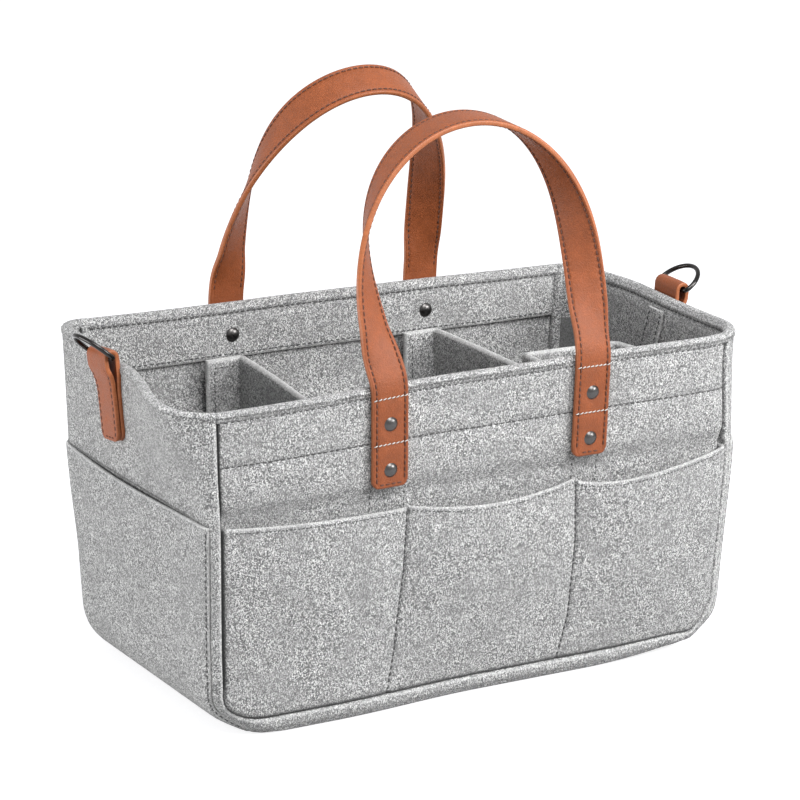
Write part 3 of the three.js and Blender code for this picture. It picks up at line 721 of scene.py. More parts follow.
def grain_group():
    """Fine pebbled leather grain, with broad darker patches."""
    if "Leather grain" in bpy.data.node_groups:
        return bpy.data.node_groups["Leather grain"]
    tree, scaled, result = new_group("Leather grain", "Size", ("Height", "Patch"))
    cells = texture(tree, "Voronoi", scaled, {"Scale": 1300.0, "Randomness": 1.0},
                    feature="SMOOTH_F1")
    fine = texture(tree, "Noise", scaled, {"Scale": 2600.0, "Detail": 3.0})
    wide = texture(tree, "Noise", scaled, {"Scale": 120.0, "Detail": 4.0, "Roughness": 0.6})
    both = node(tree, "ShaderNodeMath", operation="ADD")
    tree.links.new(cells["Distance"], both.inputs[0])
    tree.links.new(fine["Fac"], both.inputs[1])
    tree.links.new(both.outputs[0], result.inputs["Height"])
    tree.links.new(wide["Fac"], result.inputs["Patch"])
    return tree


def new_material(name):
    """A material with its tree and shader, or the one already made and no tree."""
    made = bpy.data.materials.get(name)
    if made:
        return made, None, None
    made = bpy.data.materials.new(name)
    made.use_nodes = True
    return made, made.node_tree, made.node_tree.nodes["Principled BSDF"]


def mixed(tree, factor, first, second):
    mix = node(tree, "ShaderNodeMix", data_type="RGBA")
    tree.links.new(factor, mix.inputs[0])
    for socket, value in ((mix.inputs[6], first), (mix.inputs[7], second)):
        if isinstance(value, bpy.types.NodeSocket):
            tree.links.new(value, socket)
        else:
            socket.default_value = (*value, 1)
    return mix.outputs[2]


def bumped(tree, shader, height, strength, distance):
    bump = node(tree, "ShaderNodeBump", {"Strength": strength, "Distance": distance})
    tree.links.new(height, bump.inputs["Height"])
    tree.links.new(bump.outputs["Normal"], shader.inputs["Normal"])


def grouped(tree, group, vector):
    made = node(tree, "ShaderNodeGroup", node_tree=group)
    tree.links.new(vector, made.inputs["Vector"])
    return made.outputs


def felt_material():
    made, tree, shader = new_material("Heather felt")
    if tree is None:
        return made
    c = bpy.context.scene.organizer_colours
    fibres = grouped(tree, fibres_group(), surface(tree))
    crease = node(tree, "ShaderNodeAttribute", attribute_name="crease").outputs["Fac"]
    speckle = ranged(tree, fibres["Speckle"], 0.35, 0.45, 0.0, 1.0)
    colour = mixed(tree, speckle, toned(c.felt, 0.1), toned(c.felt, 1.06))
    for mask, low, high, to_low, to_high, tone in (
        (fibres["Tufts"], 0.59, 0.73, 0.0, 0.9, toned(c.felt, 0.12)),
        (fibres["Cloud"], 0.35, 0.58, 0.6, 0.0, toned(c.felt, 0.5)),
        (fibres["Pale"], 0, 1, 0, 0.12, c.felt_light),
        (fibres["Dark"], 0, 1, 0, 0.9, c.felt_dark),
        # Cut edges painted pale, partly their lighter fibres and partly a painted highlight; then
        # painted shade in seams, grooves and creases
        (crease, -1.0, 0.0, 1.0, 0.0, c.felt_light),
        (crease, 0.0, 1.0, 0.0, 1.0, PAINTED_SHADE),
    ):
        colour = mixed(tree, ranged(tree, mask, low, high, to_low, to_high), colour, tone)
    tree.links.new(colour, shader.inputs["Base Color"])
    set_values(shader, {"Roughness": 0.95, "Specular IOR Level": 0.15,
                        "Sheen Weight": 0.15, "Sheen Roughness": 0.6})
    bumped(tree, shader, fibres["Height"], 1.0, 0.0003)
    return made


def leather_material(name, colour, roughness, strength):
    made, tree, shader = new_material(name)
    if tree is None:
        return made
    grain = grouped(tree, grain_group(), surface(tree, "UV"))
    patch = ranged(tree, grain["Patch"], 0.35, 0.65, 0.0, 1.0)
    worn = [min(1, v) for v in toned(colour, 1.08)]
    tone = mixed(tree, patch, toned(colour, 0.86), worn)
    pits = ranged(tree, grain["Height"], 0.5, 1.3, 0.5, 0.0)
    tone = mixed(tree, pits, tone, toned(colour, 0.5))
    tree.links.new(tone, shader.inputs["Base Color"])
    rough = ranged(tree, grain["Patch"], 0.3, 0.7, roughness - 0.05, roughness + 0.06)
    tree.links.new(rough, shader.inputs["Roughness"])
    set_values(shader, {"Specular IOR Level": 0.28})
    bumped(tree, shader, grain["Height"], strength, 0.0002)
    return made


def leather_materials():
    c = bpy.context.scene.organizer_colours
    return [leather_material("Leather face", c.leather, 0.47, 1.0),
            leather_material("Leather edge paint", c.edge, 0.42, 0.15)]


def thread_material(name, setting):
    """Twisted thread in one of the colours of the settings."""
    made, tree, shader = new_material(name)
    if tree is None:
        return made
    colour = getattr(bpy.context.scene.organizer_colours, setting)
    twist = texture(tree, "Wave", surface(tree), {"Scale": 900.0, "Distortion": 2.0},
                    bands_direction="DIAGONAL")["Fac"]
    tree.links.new(mixed(tree, twist, toned(colour, 0.7), colour), shader.inputs["Base Color"])
    set_values(shader, {"Roughness": 0.7})
    bumped(tree, shader, twist, 0.4, 0.0002)
    return made


# Thread on the felt, near black as painted shade of the thread sunk into it
def felt_thread():
    return thread_material("Felt thread", "felt_thread")


def metal_material(name="Gunmetal", shade=0.35, rough=0.12):
    made, tree, shader = new_material(name)
    if tree is None:
        return made
    colour = toned(bpy.context.scene.organizer_colours.metal, shade)
    haze = texture(tree, "Noise", surface(tree),
                   {"Scale": 900.0, "Detail": 4.0, "Roughness": 0.65})["Fac"]
    tone = mixed(tree, haze, toned(colour, 0.85), toned(colour, 1.12))
    tree.links.new(tone, shader.inputs["Base Color"])
    finish = ranged(tree, haze, 0.3, 0.7, rough, rough + 0.1)
    tree.links.new(finish, shader.inputs["Roughness"])
    set_values(shader, {"Metallic": 1.0})
    return made


def tape_material(name="Fastening tape", shade=1.0):
    made, tree, shader = new_material(name)
    if tree is None:
        return made
    colour = toned(bpy.context.scene.organizer_colours.tape, shade)
    loops = texture(tree, "Voronoi", surface(tree), {"Scale": 1100.0})["Distance"]
    tone = mixed(tree, loops, toned(colour, 1.3), toned(colour, 0.5))
    tree.links.new(tone, shader.inputs["Base Color"])
    set_values(shader, {"Roughness": 0.9})
    bumped(tree, shader, loops, 0.8, 0.0005)
    return made


# Pieces of the felt body


def across_band(width, edge, taper, count):
    """Places across the band for each of its widths, close at its sides, and shares there."""
    edge = np.array(edge)
    w = [np.concatenate([edge, np.linspace(edge[-1], total - edge[-1], count + 2)[1:-1],
                         total - edge[::-1]]) for total in width]
    shares = taper + [1] * (len(edge) - len(taper))
    return np.array(w), np.array(shares + [1] * count + shares[::-1])


def build_band():
    """Both ends and the bottom: one band whose long edges stand as ribs round the panels."""
    body = Body()
    top = body.rim_q(body.height - 3)
    lip = [body.rim_q(MOUTH_AT_SIDE + s) for s in (-9, -5, -1.2, -0.4, 0.4, 1.2)]
    q, share_q = edged(-top, top, 4, 1.4, extra=[hand * s for s in lip for hand in (-1, 1)])
    edge = [0, 0.25, 0.9, 1.9, 3.2, 4.8, 6.2, 7.4, 8.4, 8.9, 9.4, 10.4, 12, 14]
    width = body.band_width(q)
    w, share_w = across_band(width, edge, [0, 0.5, 0.85], 29)
    grid = settle(body.band(q[:, None], w))
    near = np.minimum(w, width[:, None] - w)
    _, z, _ = body.path(q)
    low = 1 - smooth(120, 150, z)
    rise = (0.5 + 1.1 * low) * (1 - smooth(195, 199, z))
    rib = rise[:, None] * (1 - smooth(6.0, 8.6, near))
    covered = smooth(0.5, 6, z) * (1 - smooth(MOUTH_AT_SIDE - 9, MOUTH_AT_SIDE - 5, z))
    sunk = -1.9 * smooth(8.7, 9.5, near) * covered[:, None]
    under = -body.felt - 2.4 * (1 - smooth(7, 11, near)) - 1.0
    # Painted shadow on the wall just above the end pockets' lips, painted shade in the seam at the
    # rib's edge, and a painted highlight along the rib's rounded edge
    line = np.exp(-(((z - MOUTH_AT_SIDE - 0.2) / 0.8) ** 2))
    crease = 0.8 * line[:, None] * smooth(8.7, 9.5, near) + 0.55 * np.exp(-((near / 0.45) ** 2))
    crease = crease - 0.3 * np.exp(-(((near - 1.6) / 0.7) ** 2))
    piece = felt_piece("felt_band", grid, rib + sunk, under, share_q, share_w, crease, cut=0)
    return finish_piece(piece, "caddy", ["end_and_bottom_band"])


def outline_x(body, z, t):
    """Length co-ordinates of a face's sheet, whose outline reaches a little behind the rib."""
    z, t = np.asarray(z, float)[:, None], np.asarray(t, float)[None, :]
    straight = body.end_x(z) - SEAM_INSET + 4
    r = np.where(t < 0, PANEL_CORNERS[-1], PANEL_CORNERS[1]) + 4
    low = np.clip((r - (z - RIB_HEIGHT + 4)) / r, 0, 1)
    return t * (straight - (r - r * np.sqrt(1 - low**2)))


def from_seam(body, x, z):
    """How far a point of a face is inside the seam with the ribs."""
    x, z = np.broadcast_arrays(x, z)
    apart = np.full(x.shape, 1e9)
    inside = np.zeros(x.shape, bool)
    for hand in (-1, 1):
        seam = body.band(hand * np.linspace(0, body.rim_q(body.height), 220), 0)
        for sx, _, sz in seam:
            apart = np.minimum(apart, np.hypot(x - sx, z - sz))
        end = np.interp(z, seam[:, 2], hand * seam[:, 0])
        inside |= (hand * x >= 0) & (hand * x < end) & (z > seam[0, 2])
    eased = np.where(apart < 1.2, apart * smooth(-0.2, 1.2, apart), apart)
    return np.where(inside, 1, -1) * eased


# Columns of a face's sheet beside the seam with the ribs, as shares of its half length
SEAM_COLUMNS = (0.985, 0.9774, 0.9746, 0.9718, 0.9684, 0.965, 0.961, 0.957, 0.952)


def painted_seam_shade(edge, x, z):
    """How much painted shade a sheet gets where it goes under the rib: edge is the distance from
    the seam.
    """
    wide = (1.7 - 0.5 * smooth(128, 138, z)) * smooth(-140, -158, x) * smooth(18, 40, z)
    wide = np.maximum(wide, 1.1 * smooth(24, 15, z))
    return np.exp(-((np.clip(edge - wide, 0, None) / 1.0) ** 2))


def build_panels():
    """Front and back panels, lying behind the ribs."""
    body = Body()
    columns = [hand * c for c in SEAM_COLUMNS for hand in (-1, 1)]
    for name, side in (("front", -1), ("back", 1)):
        hem = body.height - HEM_DROP
        rows = (10.6, 11.5, 12, 12.5, 13.2, 14.4, hem - 1.2, hem - 0.5, hem, hem + 0.5, hem + 1.2)
        z, share_z = edged(7, body.height - 3.5, 4, 1.3, extra=rows)
        t, share_t = edged(-1, 1, 1 / 42, 0.012, extra=columns)
        x = outline_x(body, z, t)
        edge = from_seam(body, x, z[:, None])
        tuck = 1.8 * np.exp(-np.clip(edge / 1.2, -1.2, None))
        deep = body.recess(z)[:, None] + tuck
        groove = 0.5 * np.exp(-(((z - hem) / 0.7) ** 2))[:, None] + 0 * x
        grid = settle(body.face(x, z[:, None], -deep, side))
        # Painted shade in the groove at the hem and where the panel goes under the rib
        dark = np.maximum(0.4 * groove, painted_seam_shade(edge, x, z[:, None]))
        piece = felt_piece(
            f"felt_{name}_panel", grid, -groove, -body.felt, share_z, share_t, dark, cut=0)
        finish_piece(piece, "caddy", [f"{name}_panel"])


def seam_x(z, which):
    """Where a pocket seam stands at height z."""
    return np.interp(z, SEAM_HEIGHTS, (LEFT_SEAM, RIGHT_SEAM)[which])


def pocket_share(body, x, z):
    """Which pocket a point is in, and how far across it is."""
    half = body.end_x(z) - SEAM_INSET
    left, right = seam_x(z, 0), seam_x(z, 1)
    which = np.where(x < left, 0, np.where(x < right, 1, 2))
    low = np.choose(which, [-half, left, right])
    high = np.choose(which, [left, right, half])
    return which, np.clip((x - low) / (high - low), 0, 1)


def mouth_z(which, t):
    start = np.choose(which, [MOUTH_AT_SIDE - 1, MOUTH_AT_SEAM, MOUTH_AT_SEAM])
    end = np.choose(which, [MOUTH_AT_SEAM - 1, MOUTH_AT_SEAM, MOUTH_AT_SIDE])
    sag = np.choose(which, MOUTH_SAG)
    lean = np.choose(which, [1, 1, 0.63])
    return start + (end - start) * t - sag * np.sin(np.pi * t**lean) ** 0.9


def pocket_point(body, x, rise, side, out=0.0):
    """Point of the pockets' sheet, and its height: rise is 0 at the bottom, 1 at the mouth."""
    top = MOUTH_AT_SEAM
    for _ in range(3):
        which, t = pocket_share(body, x, lerp(POCKET_FOOT, top, rise))
        top = mouth_z(which, t)
    z = lerp(POCKET_FOOT, top, rise)
    which, t = pocket_share(body, x, z)
    across = np.sin(np.pi * t)
    up = np.clip((z - 10) / 110, 0, 1)
    puff = across**0.75 * (1.6 * np.sin(np.pi * up) ** 0.8 + 5.4 * np.sin(np.pi / 2 * up) ** 1.3)
    edge = from_seam(body, x, z)
    tuck = 2.0 * np.exp(-np.clip(edge / 1.2, -1.2, None))
    return body.face(x, z, puff - 0.2 - tuck + out, side), z


def build_pockets():
    """Front and back pockets: one sheet each, sewn down between the pockets."""
    body = Body()
    for name, side in (("front", -1), ("back", 1)):
        tall = MOUTH_AT_SEAM - POCKET_FOOT
        rows = [(v - POCKET_FOOT) / tall for v in (10.6, 11.5, 12, 12.5, 13.2, 14.4)]
        rise, share_r = edged(0, 1, 1 / 32, 0.011, extra=rows)
        # The seams' places halfway up, with columns close to them
        seams = [float(seam_x(80, which)) for which in (0, 1)]
        half = body.end_x(80) - SEAM_INSET + 4
        marks = [x / half + m for x in seams for m in (-0.02, -0.01, -0.005, 0, 0.005, 0.01, 0.02)]
        marks += [hand * c for c in SEAM_COLUMNS for hand in (-1, 1)]
        t, share_t = edged(-1, 1, 1 / 48, 0.012, extra=marks)
        z = lerp(POCKET_FOOT, MOUTH_AT_SEAM, rise)
        straight = outline_x(body, z, t)
        shift = np.zeros_like(straight)
        for which, base in enumerate(seams):
            near = np.exp(-(((straight - base) / 30) ** 2))
            shift += near * (seam_x(z, which) - base)[:, None]
        x = straight + shift
        grid, real_z = pocket_point(body, x, rise[:, None], side)
        grid = settle(grid)
        # Painted shade in the valleys of the seams between pockets and where the sheet goes under
        # the rib
        seam = np.zeros_like(x)
        for which in (0, 1):
            seam += np.exp(-((x - seam_x(z, which)[:, None]) ** 2))
        dark = np.maximum(0.3 * seam**2, painted_seam_shade(from_seam(body, x, real_z), x, real_z))
        piece = felt_piece(f"felt_{name}_pockets", grid, 1.3 - 1.2 * seam, -1.3,
                           share_r, share_t, dark, cut=0.2)
        finish_piece(piece, "caddy", [f"{name}_pockets"])


def pocket_rise(t, z):
    """How far an end pocket stands off its wall, t from 0 at its sides to 1 in the middle."""
    full = np.sin(np.pi / 2 * np.clip(t, 0, 1))
    return 3.0 * full**1.3 * smooth(20, 120, z) - 1.6 - 1.1 * (1 - smooth(2, 22, z))


def build_end_pockets():
    """A pocket over each end, wrapped round its corners almost to the ribs."""
    body = Body()
    for name, hand in (("left", -1), ("right", 1)):
        low, high = 158, body.rim_q(MOUTH_AT_SIDE)
        q, share_q = edged(low, high, 4, 1.3)
        q = q * hand
        width = body.band_width(q)
        edge = [RIB_WIDTH + s for s in (0, 0.16, 0.65, 1.3, 1.9, 2.5, 3.1, 3.8, 5)]
        w, share_w = across_band(width, edge, [0, 0.47, 0.866], 33)
        near = np.minimum(w, width[:, None] - w)
        _, z, _ = body.path(q)
        t = (near - RIB_WIDTH) / (width[:, None] / 2 - RIB_WIDTH)
        under = pocket_rise(t, z[:, None])
        grid = settle(body.band(q[:, None], w))
        grid[..., 2] -= 0.8 * np.sin(np.pi / 2 * t) * smooth(100, 133, z)[:, None]
        stitch = np.exp(-(((near - RIB_WIDTH - 2.5) / 0.7) ** 2))
        # The stitched line is sunk, with painted shade along it
        piece = felt_piece(
            f"felt_{name}_end_pocket", grid, under + 2.9 - 0.5 * stitch, under,
            share_q, share_w, 0.15 * stitch, cut=0.35)
        finish_piece(piece, "caddy", [f"{name}_end_pocket"])


def build_facing():
    """The rim: a second ply folded over the edge and down inside the body."""
    body = Body()
    height = body.height
    inner = -body.felt - 3.1
    stitch = height - TOPSTITCH_DROP
    low = height - FACING_DEPTH - 1
    section = [(-3.3, low + 1.3), (-3.6, low + 0.35), (-4.4, low), (inner + 0.6, low + 0.25),
               (inner, low + 1.2)]
    section += [(inner, low + s) for s in (2.4, 3.0, 3.8, 8, 14, 20)]
    section += [(inner, stitch - 1.6), (inner + 0.5, stitch - 0.5), (inner + 0.5, stitch + 0.3),
                (inner, stitch + 1.5), (inner - 0.15, stitch + 3.4)]
    centre = (inner + 0.55) / 2
    reach = (0.55 - inner) / 2 + 0.1
    for i in range(9):
        a = math.pi * (1 - i / 8)
        up = height - reach * 0.85 + reach * 0.85 * math.sin(a)
        section.append((centre + reach * math.cos(a), up))
    section += [(0.6, stitch + 3.2), (0.55, stitch + 1.6), (0.2, stitch + 0.7),
                (-0.35, stitch + 0.2), (-1.0, stitch), (-1.6, stitch + 0.2),
                (-3.3, stitch + 0.2), (-3.3, stitch - 8), (-3.3, stitch - 16)]
    section = np.array(section)
    count = 300
    u = np.arange(count) / count
    rings = body.ring(u[:, None], section[None, :, 1], section[None, :, 0])
    ends = smooth(168, 184, np.abs(rings[..., 0]))
    rings[..., 2] -= END_HEM_DROP * ends * smooth(low + 20, low + 3, section[:, 1])
    rings = settle(recess_faces(body, rings))
    # Painted shade in the topstitch crease outside and inside; the lower edge painted pale, partly
    # its lighter cut fibres and partly a painted highlight
    marks = np.zeros((count, len(section)))
    faced = (np.abs(rings[:, 0, 0]) < 180)[:, None]
    near = np.abs(section[:, 1] - stitch) < 0.8
    marks += 0.45 * (near & (section[:, 0] > -1.4)) * faced
    marks += 0.35 * (near & (section[:, 0] < inner + 1)) - 0.8 * (section[:, 1] < low + 0.9)
    faces = [f[:1] + f[:0:-1] for f in ring_faces(count, len(section))]
    piece = make_piece("felt_rim", rings.reshape(-1, 3), faces, [felt_material()],
                       marks=marks.ravel())
    return finish_piece(piece, "caddy", ["rim_facing"])


def strip_middle(hand, z):
    """Where the leaning strip inside an end stands at height z."""
    return TAB_SHIFT[hand] - 5 + 0.28 * (194 - z)


def build_end_strips():
    """Felt strips sewn inside the ends, behind the tabs."""
    body = Body()
    rows = []
    for hand, turn in (("left", -1), ("right", 1)):
        z, share_z = edged(152, 195.5, 2, 0.8)
        y, share_y = edged(-8.5, 8.5, 2, 0.8)
        across = y[None, :] + strip_middle(hand, z)[:, None]
        x = end_at(z)[:, None] - body.felt - 4.6 + 0 * across
        grid = settle(np.stack([turn * x, across, z[:, None] + 0 * x], -1))
        toward = np.broadcast_to([-turn, 0, 0.0], grid.shape)
        piece = felt_piece(f"felt_end_strip_{hand}", grid, 0.9, -1.1, share_z, share_y,
                           cut=0.4, toward=toward)
        finish_piece(piece, "caddy")
        for place in (-6.2, 6.2):
            level = np.linspace(154, 194, 24)
            spot = strip_middle(hand, level) + place
            line = np.stack([turn * (end_at(level) - body.felt - 5.5), spot, level], -1)
            ups = [(-turn, 0, 0)] * 24
            rows.append(stitch_row(settle(line), ups, body.stitch, *STRIP_STITCH))
    return sew("stitches_end_strips", rows, felt_thread())


def recess_faces(body, points):
    """Moves what lies on the front and back faces in as far as the upper panels are."""
    p = np.array(points, float)
    past = np.abs(p[..., 0]) - (body.end_x(p[..., 2]) - SEAM_INSET)
    inset = UPPER_RECESS * (1 - smooth(-8, 2, past))
    near = np.abs(p[..., 1]) > body.face_y(p[..., 2]) - CORNER
    p[..., 1] -= np.sign(p[..., 1]) * np.where(near, inset, 0)
    return p


def build_board():
    """The felt-covered board on the floor of the body."""
    half_x, half_y, corner, top = 150, 87, 20, 5.0
    x, share_x = edged(-half_x, half_x, 6, 1.4)
    y, share_y = edged(-half_y, half_y, 6, 1.4)
    gx, gy = np.meshgrid(x, y, indexing="ij")
    over = np.clip(np.abs(gx) - (half_x - corner), 0, None)
    limit = half_y - corner + np.sqrt(np.clip(corner**2 - over**2, 0, None))
    gy = gy / half_y * np.minimum(limit, half_y)
    grid = np.stack([gx, gy, top + 0.25 * np.sin(gx / 40) * np.cos(gy / 30)], -1)
    piece = felt_piece("floor_board", grid, 1.5, -1.5, share_x, share_y)
    return finish_piece(piece, "caddy", ["base_board"])


def build_tapes():
    """Strips of fastening tape inside the panels and on the dividers' flanges."""
    body = Body()
    # Name, body, side, middle, width, foot, top, and how far inside the face
    rows = []
    for face, side in (("front", -1), ("back", 1)):
        for hand, x in (("left", -LEG_X), ("right", LEG_X)):
            rows.append((f"loop_strip_{face}_{hand}", "caddy", side, x, 24, 20, 146, 3.5))
    for owner, face, side, x in (("left", "back", 1, -78.5), ("left", "front", -1, -69),
                                 ("right", "back", 1, 63), ("right", "front", -1, 74.5)):
        name = f"divider_{owner}_hook_{face}"
        rows.append((name, f"{owner}_divider", side, x, 20, 22, 116, 5.4))
    for hand, x in (("left", -177.5), ("right", 177.5)):
        rows.append((f"corner_binding_{hand}", "caddy", 1, x, 12, 40, 167, 5.7))
    for name, owner, side, x, wide, low, high, inward in rows:
        z, share_z = edged(low, high, 6, 0.6, CUT_EDGE)
        w, share_w = edged(x - wide / 2, x + wide / 2, 3, 0.6, CUT_EDGE)
        gz, gw = np.meshgrid(z, w, indexing="ij")
        if owner == "caddy":
            grid = settle(body.face(gw, gz, -(body.recess(gz) + inward), side))
        else:
            grid = body.face(gw, gz, -(2.9 + inward), side)
        points, faces, _, _ = thick_sheet(grid, 0, -1.5, share_z, share_w)
        binding = "binding" in name
        weave = tape_material("Corner binding", 0.4) if binding else tape_material()
        piece = make_piece("tape_" + name, points, faces, [weave])
        finish_piece(piece, owner, [] if binding else [name])


# Dividers


# How far inside the faces' surface the dividers' flanges stand, and half their thickness
FLANGE_INSET = 10.2
DIVIDER_HALF = 2.45


def rounded_path(corners, radius):
    """Points of a plan line with its corners rounded."""
    corners = [np.array(c, float) for c in corners]
    points = [corners[0]]
    for before, at, after in zip(corners, corners[1:], corners[2:]):
        a, b = (before - at), (after - at)
        a, b = a / np.linalg.norm(a), b / np.linalg.norm(b)
        start, end = at + a * radius, at + b * radius
        for t in np.arange(7) / 6:
            points.append((1 - t) ** 2 * start + 2 * t * (1 - t) * at + t**2 * end)
    return np.array(points + [corners[-1]])


def divider_piece(name, corners, owner, slack, narrow):
    """A folded sheet standing on the floor along a plan line, leaning with the faces."""
    body = Body()
    path = rounded_path(corners, 2.6)
    far = distances(path)
    s, share_s = edged(0, far[-1], 3, 2.4)
    x, y = between(s, far, path).T
    z, share_z = edged(FLOOR_TOP, DIVIDER_TOP, 5, DIVIDER_HALF)
    spread = (body.face_y(z) - FLANGE_INSET) / (body.face_y(DIVIDER_TOP) - FLANGE_INSET)
    lean = spread[None, :] if narrow else np.ones((1, len(z)))
    wave = slack * np.sin(np.pi * s / far[-1])[:, None] * smooth(10, 160, z)[None, :]
    wave = wave + 0.5 * np.sin(s / 17)[:, None] * np.sin(z / 41)[None, :]
    top_wave = 0.5 * np.sin(s / 23)[:, None] * smooth(120, 172, z)[None, :]
    level = np.broadcast_to(z[None, :], (len(s), len(z))) + top_wave
    grid = np.stack([x[:, None] + wave, y[:, None] * lean, level], -1)
    piece = felt_piece("felt_" + name, grid, DIVIDER_HALF, -DIVIDER_HALF, share_s, share_z,
                       cut=0.35)
    return finish_piece(piece, owner, [name])


def build_dividers():
    """Left and right dividers with flanges, and the U between the right one and the end."""
    body = Body()
    reach = body.face_y(DIVIDER_TOP) - FLANGE_INSET - 2.5
    for name, ends, slack in (("left", (-91, -66, -81.5, -56.5), 1.0),
                              ("right", (51, 75, 86.5, 62.5), -1.0)):
        corners = [(x, reach if i < 2 else -reach) for i, x in enumerate(ends)]
        divider_piece(f"divider_{name}", corners, f"{name}_divider", slack, True)
        edge, inner = ends[0] + 5, ends[1] - 3.5
        top, face = DIVIDER_TOP - 5.2, reach - 2.55
        line = [(inner, face, top), (edge, face, top)]
        full = body.face_y(DIVIDER_TOP)
        line += [(edge, face * body.face_y(z) / full, z) for z in (120, 60, 12)]
        rows = [stitch_row(line, [(0, -1, 0)] * len(line), body.stitch, *FLANGE_STITCH)]
        sew(f"stitches_divider_{name}", rows, felt_thread(), f"{name}_divider")
    cross = [(95.5, -26), (95.5, 13.5), (163.5, 13.5), (173.0, -26)]
    divider_piece("divider_cross", cross, "cross_divider", 0.0, False)


# Handles


class Strap:
    """One handle's strap: up from one riveted leg, over the arch and down the other."""

    def __init__(self, side, rise, lean, curl, swell, square, sway, roll, twist_at, spread):
        sizes = bpy.context.scene.organizer_sizes
        self.body = Body()
        self.side = side
        self.width, self.thick = sizes.strap_width / MM, sizes.strap / MM
        body, height = self.body, self.body.height
        foot = height - LEG_DROP
        out = -UPPER_RECESS + STRAP_STANDOFF + self.thick / 2
        points = []
        for z in np.linspace(foot, height, 30, endpoint=False):
            points.append((-LEG_X, -(body.face_y(z) + out), z, 0.0))
        y0 = -(body.face_y(height) + out)
        for t in np.arange(401) / 400:
            a = math.pi * t * t * (3 - 2 * t)
            v = math.sin(a) ** (2 / square) if 0 < t < 1 else 0.0
            x = -LEG_X * math.cos(a) * (1 + swell * math.sin(math.pi * v)) + sway * v * v
            y = y0 + (lean * v + curl * v * v)
            points.append((x, y, height + HANDLE_LIFT + rise * v, v))
        points += [(-x, y, z, v) for x, y, z, v in points[29::-1]]
        points = np.array(points)
        z = points[:, 2]
        slant = smooth(foot - 10, height + 20, z) * smooth(height + 160, height + 20, z)
        leaning = np.where(side * points[:, 0] > 0, 1, 0)
        points[:, 0] += np.where(side < 0, -2.4, 2.6) * slant * leaning
        points[:, 1] *= -side
        far = distances(points[:, :3])
        self.length = far[-1]
        s = np.linspace(0, self.length, 600)
        even = between(s, far, points)
        self.rim = float(np.interp(height, points[:30, 2], far[:30]))
        # The fold at the rim is softened on both sides
        for _ in range(60):
            near = sum(np.exp(-(((end - self.rim) / 9) ** 2)) for end in (s, self.length - s))
            soft = even.copy()
            soft[1:-1] = (even[:-2] + even[2:]) / 2
            even += (soft - even) * np.clip(near, 0, 1)[:, None] * 0.8
        tangent = np.gradient(even[:, :3], s, axis=0)
        tangent /= np.linalg.norm(tangent, axis=1, keepdims=True)
        turned = smooth(twist_at - spread, twist_at + spread, even[:, 3])
        twist = np.radians(90 + roll) * turned * smooth(0.06, 0.22, even[:, 3])
        along_y = np.array([0.0, 1.0, 0.0])
        flat = np.cross(along_y, tangent)
        flat /= np.linalg.norm(flat, axis=1, keepdims=True)
        wide = flat * np.cos(twist)[:, None] + along_y * np.sin(twist)[:, None]
        wide -= tangent * np.sum(wide * tangent, 1)[:, None]
        wide /= np.linalg.norm(wide, axis=1, keepdims=True)
        self.s, self.centre, self.wide, self.tangent = s, even[:, :3], wide, tangent
        self.face = -side * np.cross(wide, tangent)

    def at(self, s, w, h=0.0):
        s, w, h = np.broadcast_arrays(np.asarray(s, float), w, h)
        centre, wide, face = (between(s, self.s, v) for v in (self.centre, self.wide, self.face))
        return centre + wide * w[..., None] + face * h[..., None]

    def normal(self, s, sign=1.0):
        return sign * between(s, self.s, self.face)

    def half_width(self, s):
        """Half the strap's width, rounded at its two ends."""
        return self.width / 2 - rounding(np.minimum(s, self.length - s), STRAP_END)


# How each handle stands: its arch's height and lean, how it curls, swells and sways, how square
# it is, and how far, where and over how much of the arch the strap twists
STRAPS = {
    "front": {"side": -1, "rise": 142.5, "lean": 71, "curl": -32, "swell": 0.075, "square": 4.0,
              "sway": -1, "roll": 16, "twist_at": 0.515, "spread": 0.8},
    "back": {"side": 1, "rise": 144, "lean": 14, "curl": 46, "swell": -0.026, "square": 3.3,
             "sway": -3, "roll": 103, "twist_at": 0.8, "spread": 1.04},
}


def rivet_stations(strap, name):
    """Distances along the strap of its four rivets, and of the rows of felt stitches."""
    body = strap.body
    lean = math.hypot(1, (body.depths[1] - body.depths[0]) / 2 / body.height)
    stations = []
    for drops in (RIVET_DROPS[name], (TOPSTITCH_DROP, HEM_DROP)):
        near = [(body.height - d - (body.height - LEG_DROP)) * lean for d in drops]
        stations.append(near + [strap.length - s for s in near])
    return stations


def across_strip(half, edge):
    """Columns across a strip of leather, closer at its sides, and the thickness at each."""
    w = np.concatenate([-half + np.array(edge), [0], half - np.array(edge[::-1])])
    shares = [0, 0.62, 0.93] + [1] * (len(edge) - 3)
    return w, np.array(shares + [1] + shares[::-1])


def leather_piece(name, sheet, s, grid_w, place):
    """A strip of leather with painted edges; place moves its points where they belong."""
    points, faces, source, cells = sheet
    n, last = grid_w.shape[1] - 3, len(s) - 3
    spots = [divmod(cell, n + 3) for cell in cells.tolist()]
    picks = [1 if j < 2 or j >= n or i < 2 or i >= last else 0 for i, j in spots]
    uv = np.stack([np.broadcast_to(s[:, None], grid_w.shape), grid_w], -1).reshape(-1, 2)[source]
    return make_piece(name, place(points), faces, leather_materials(), picks, uv)


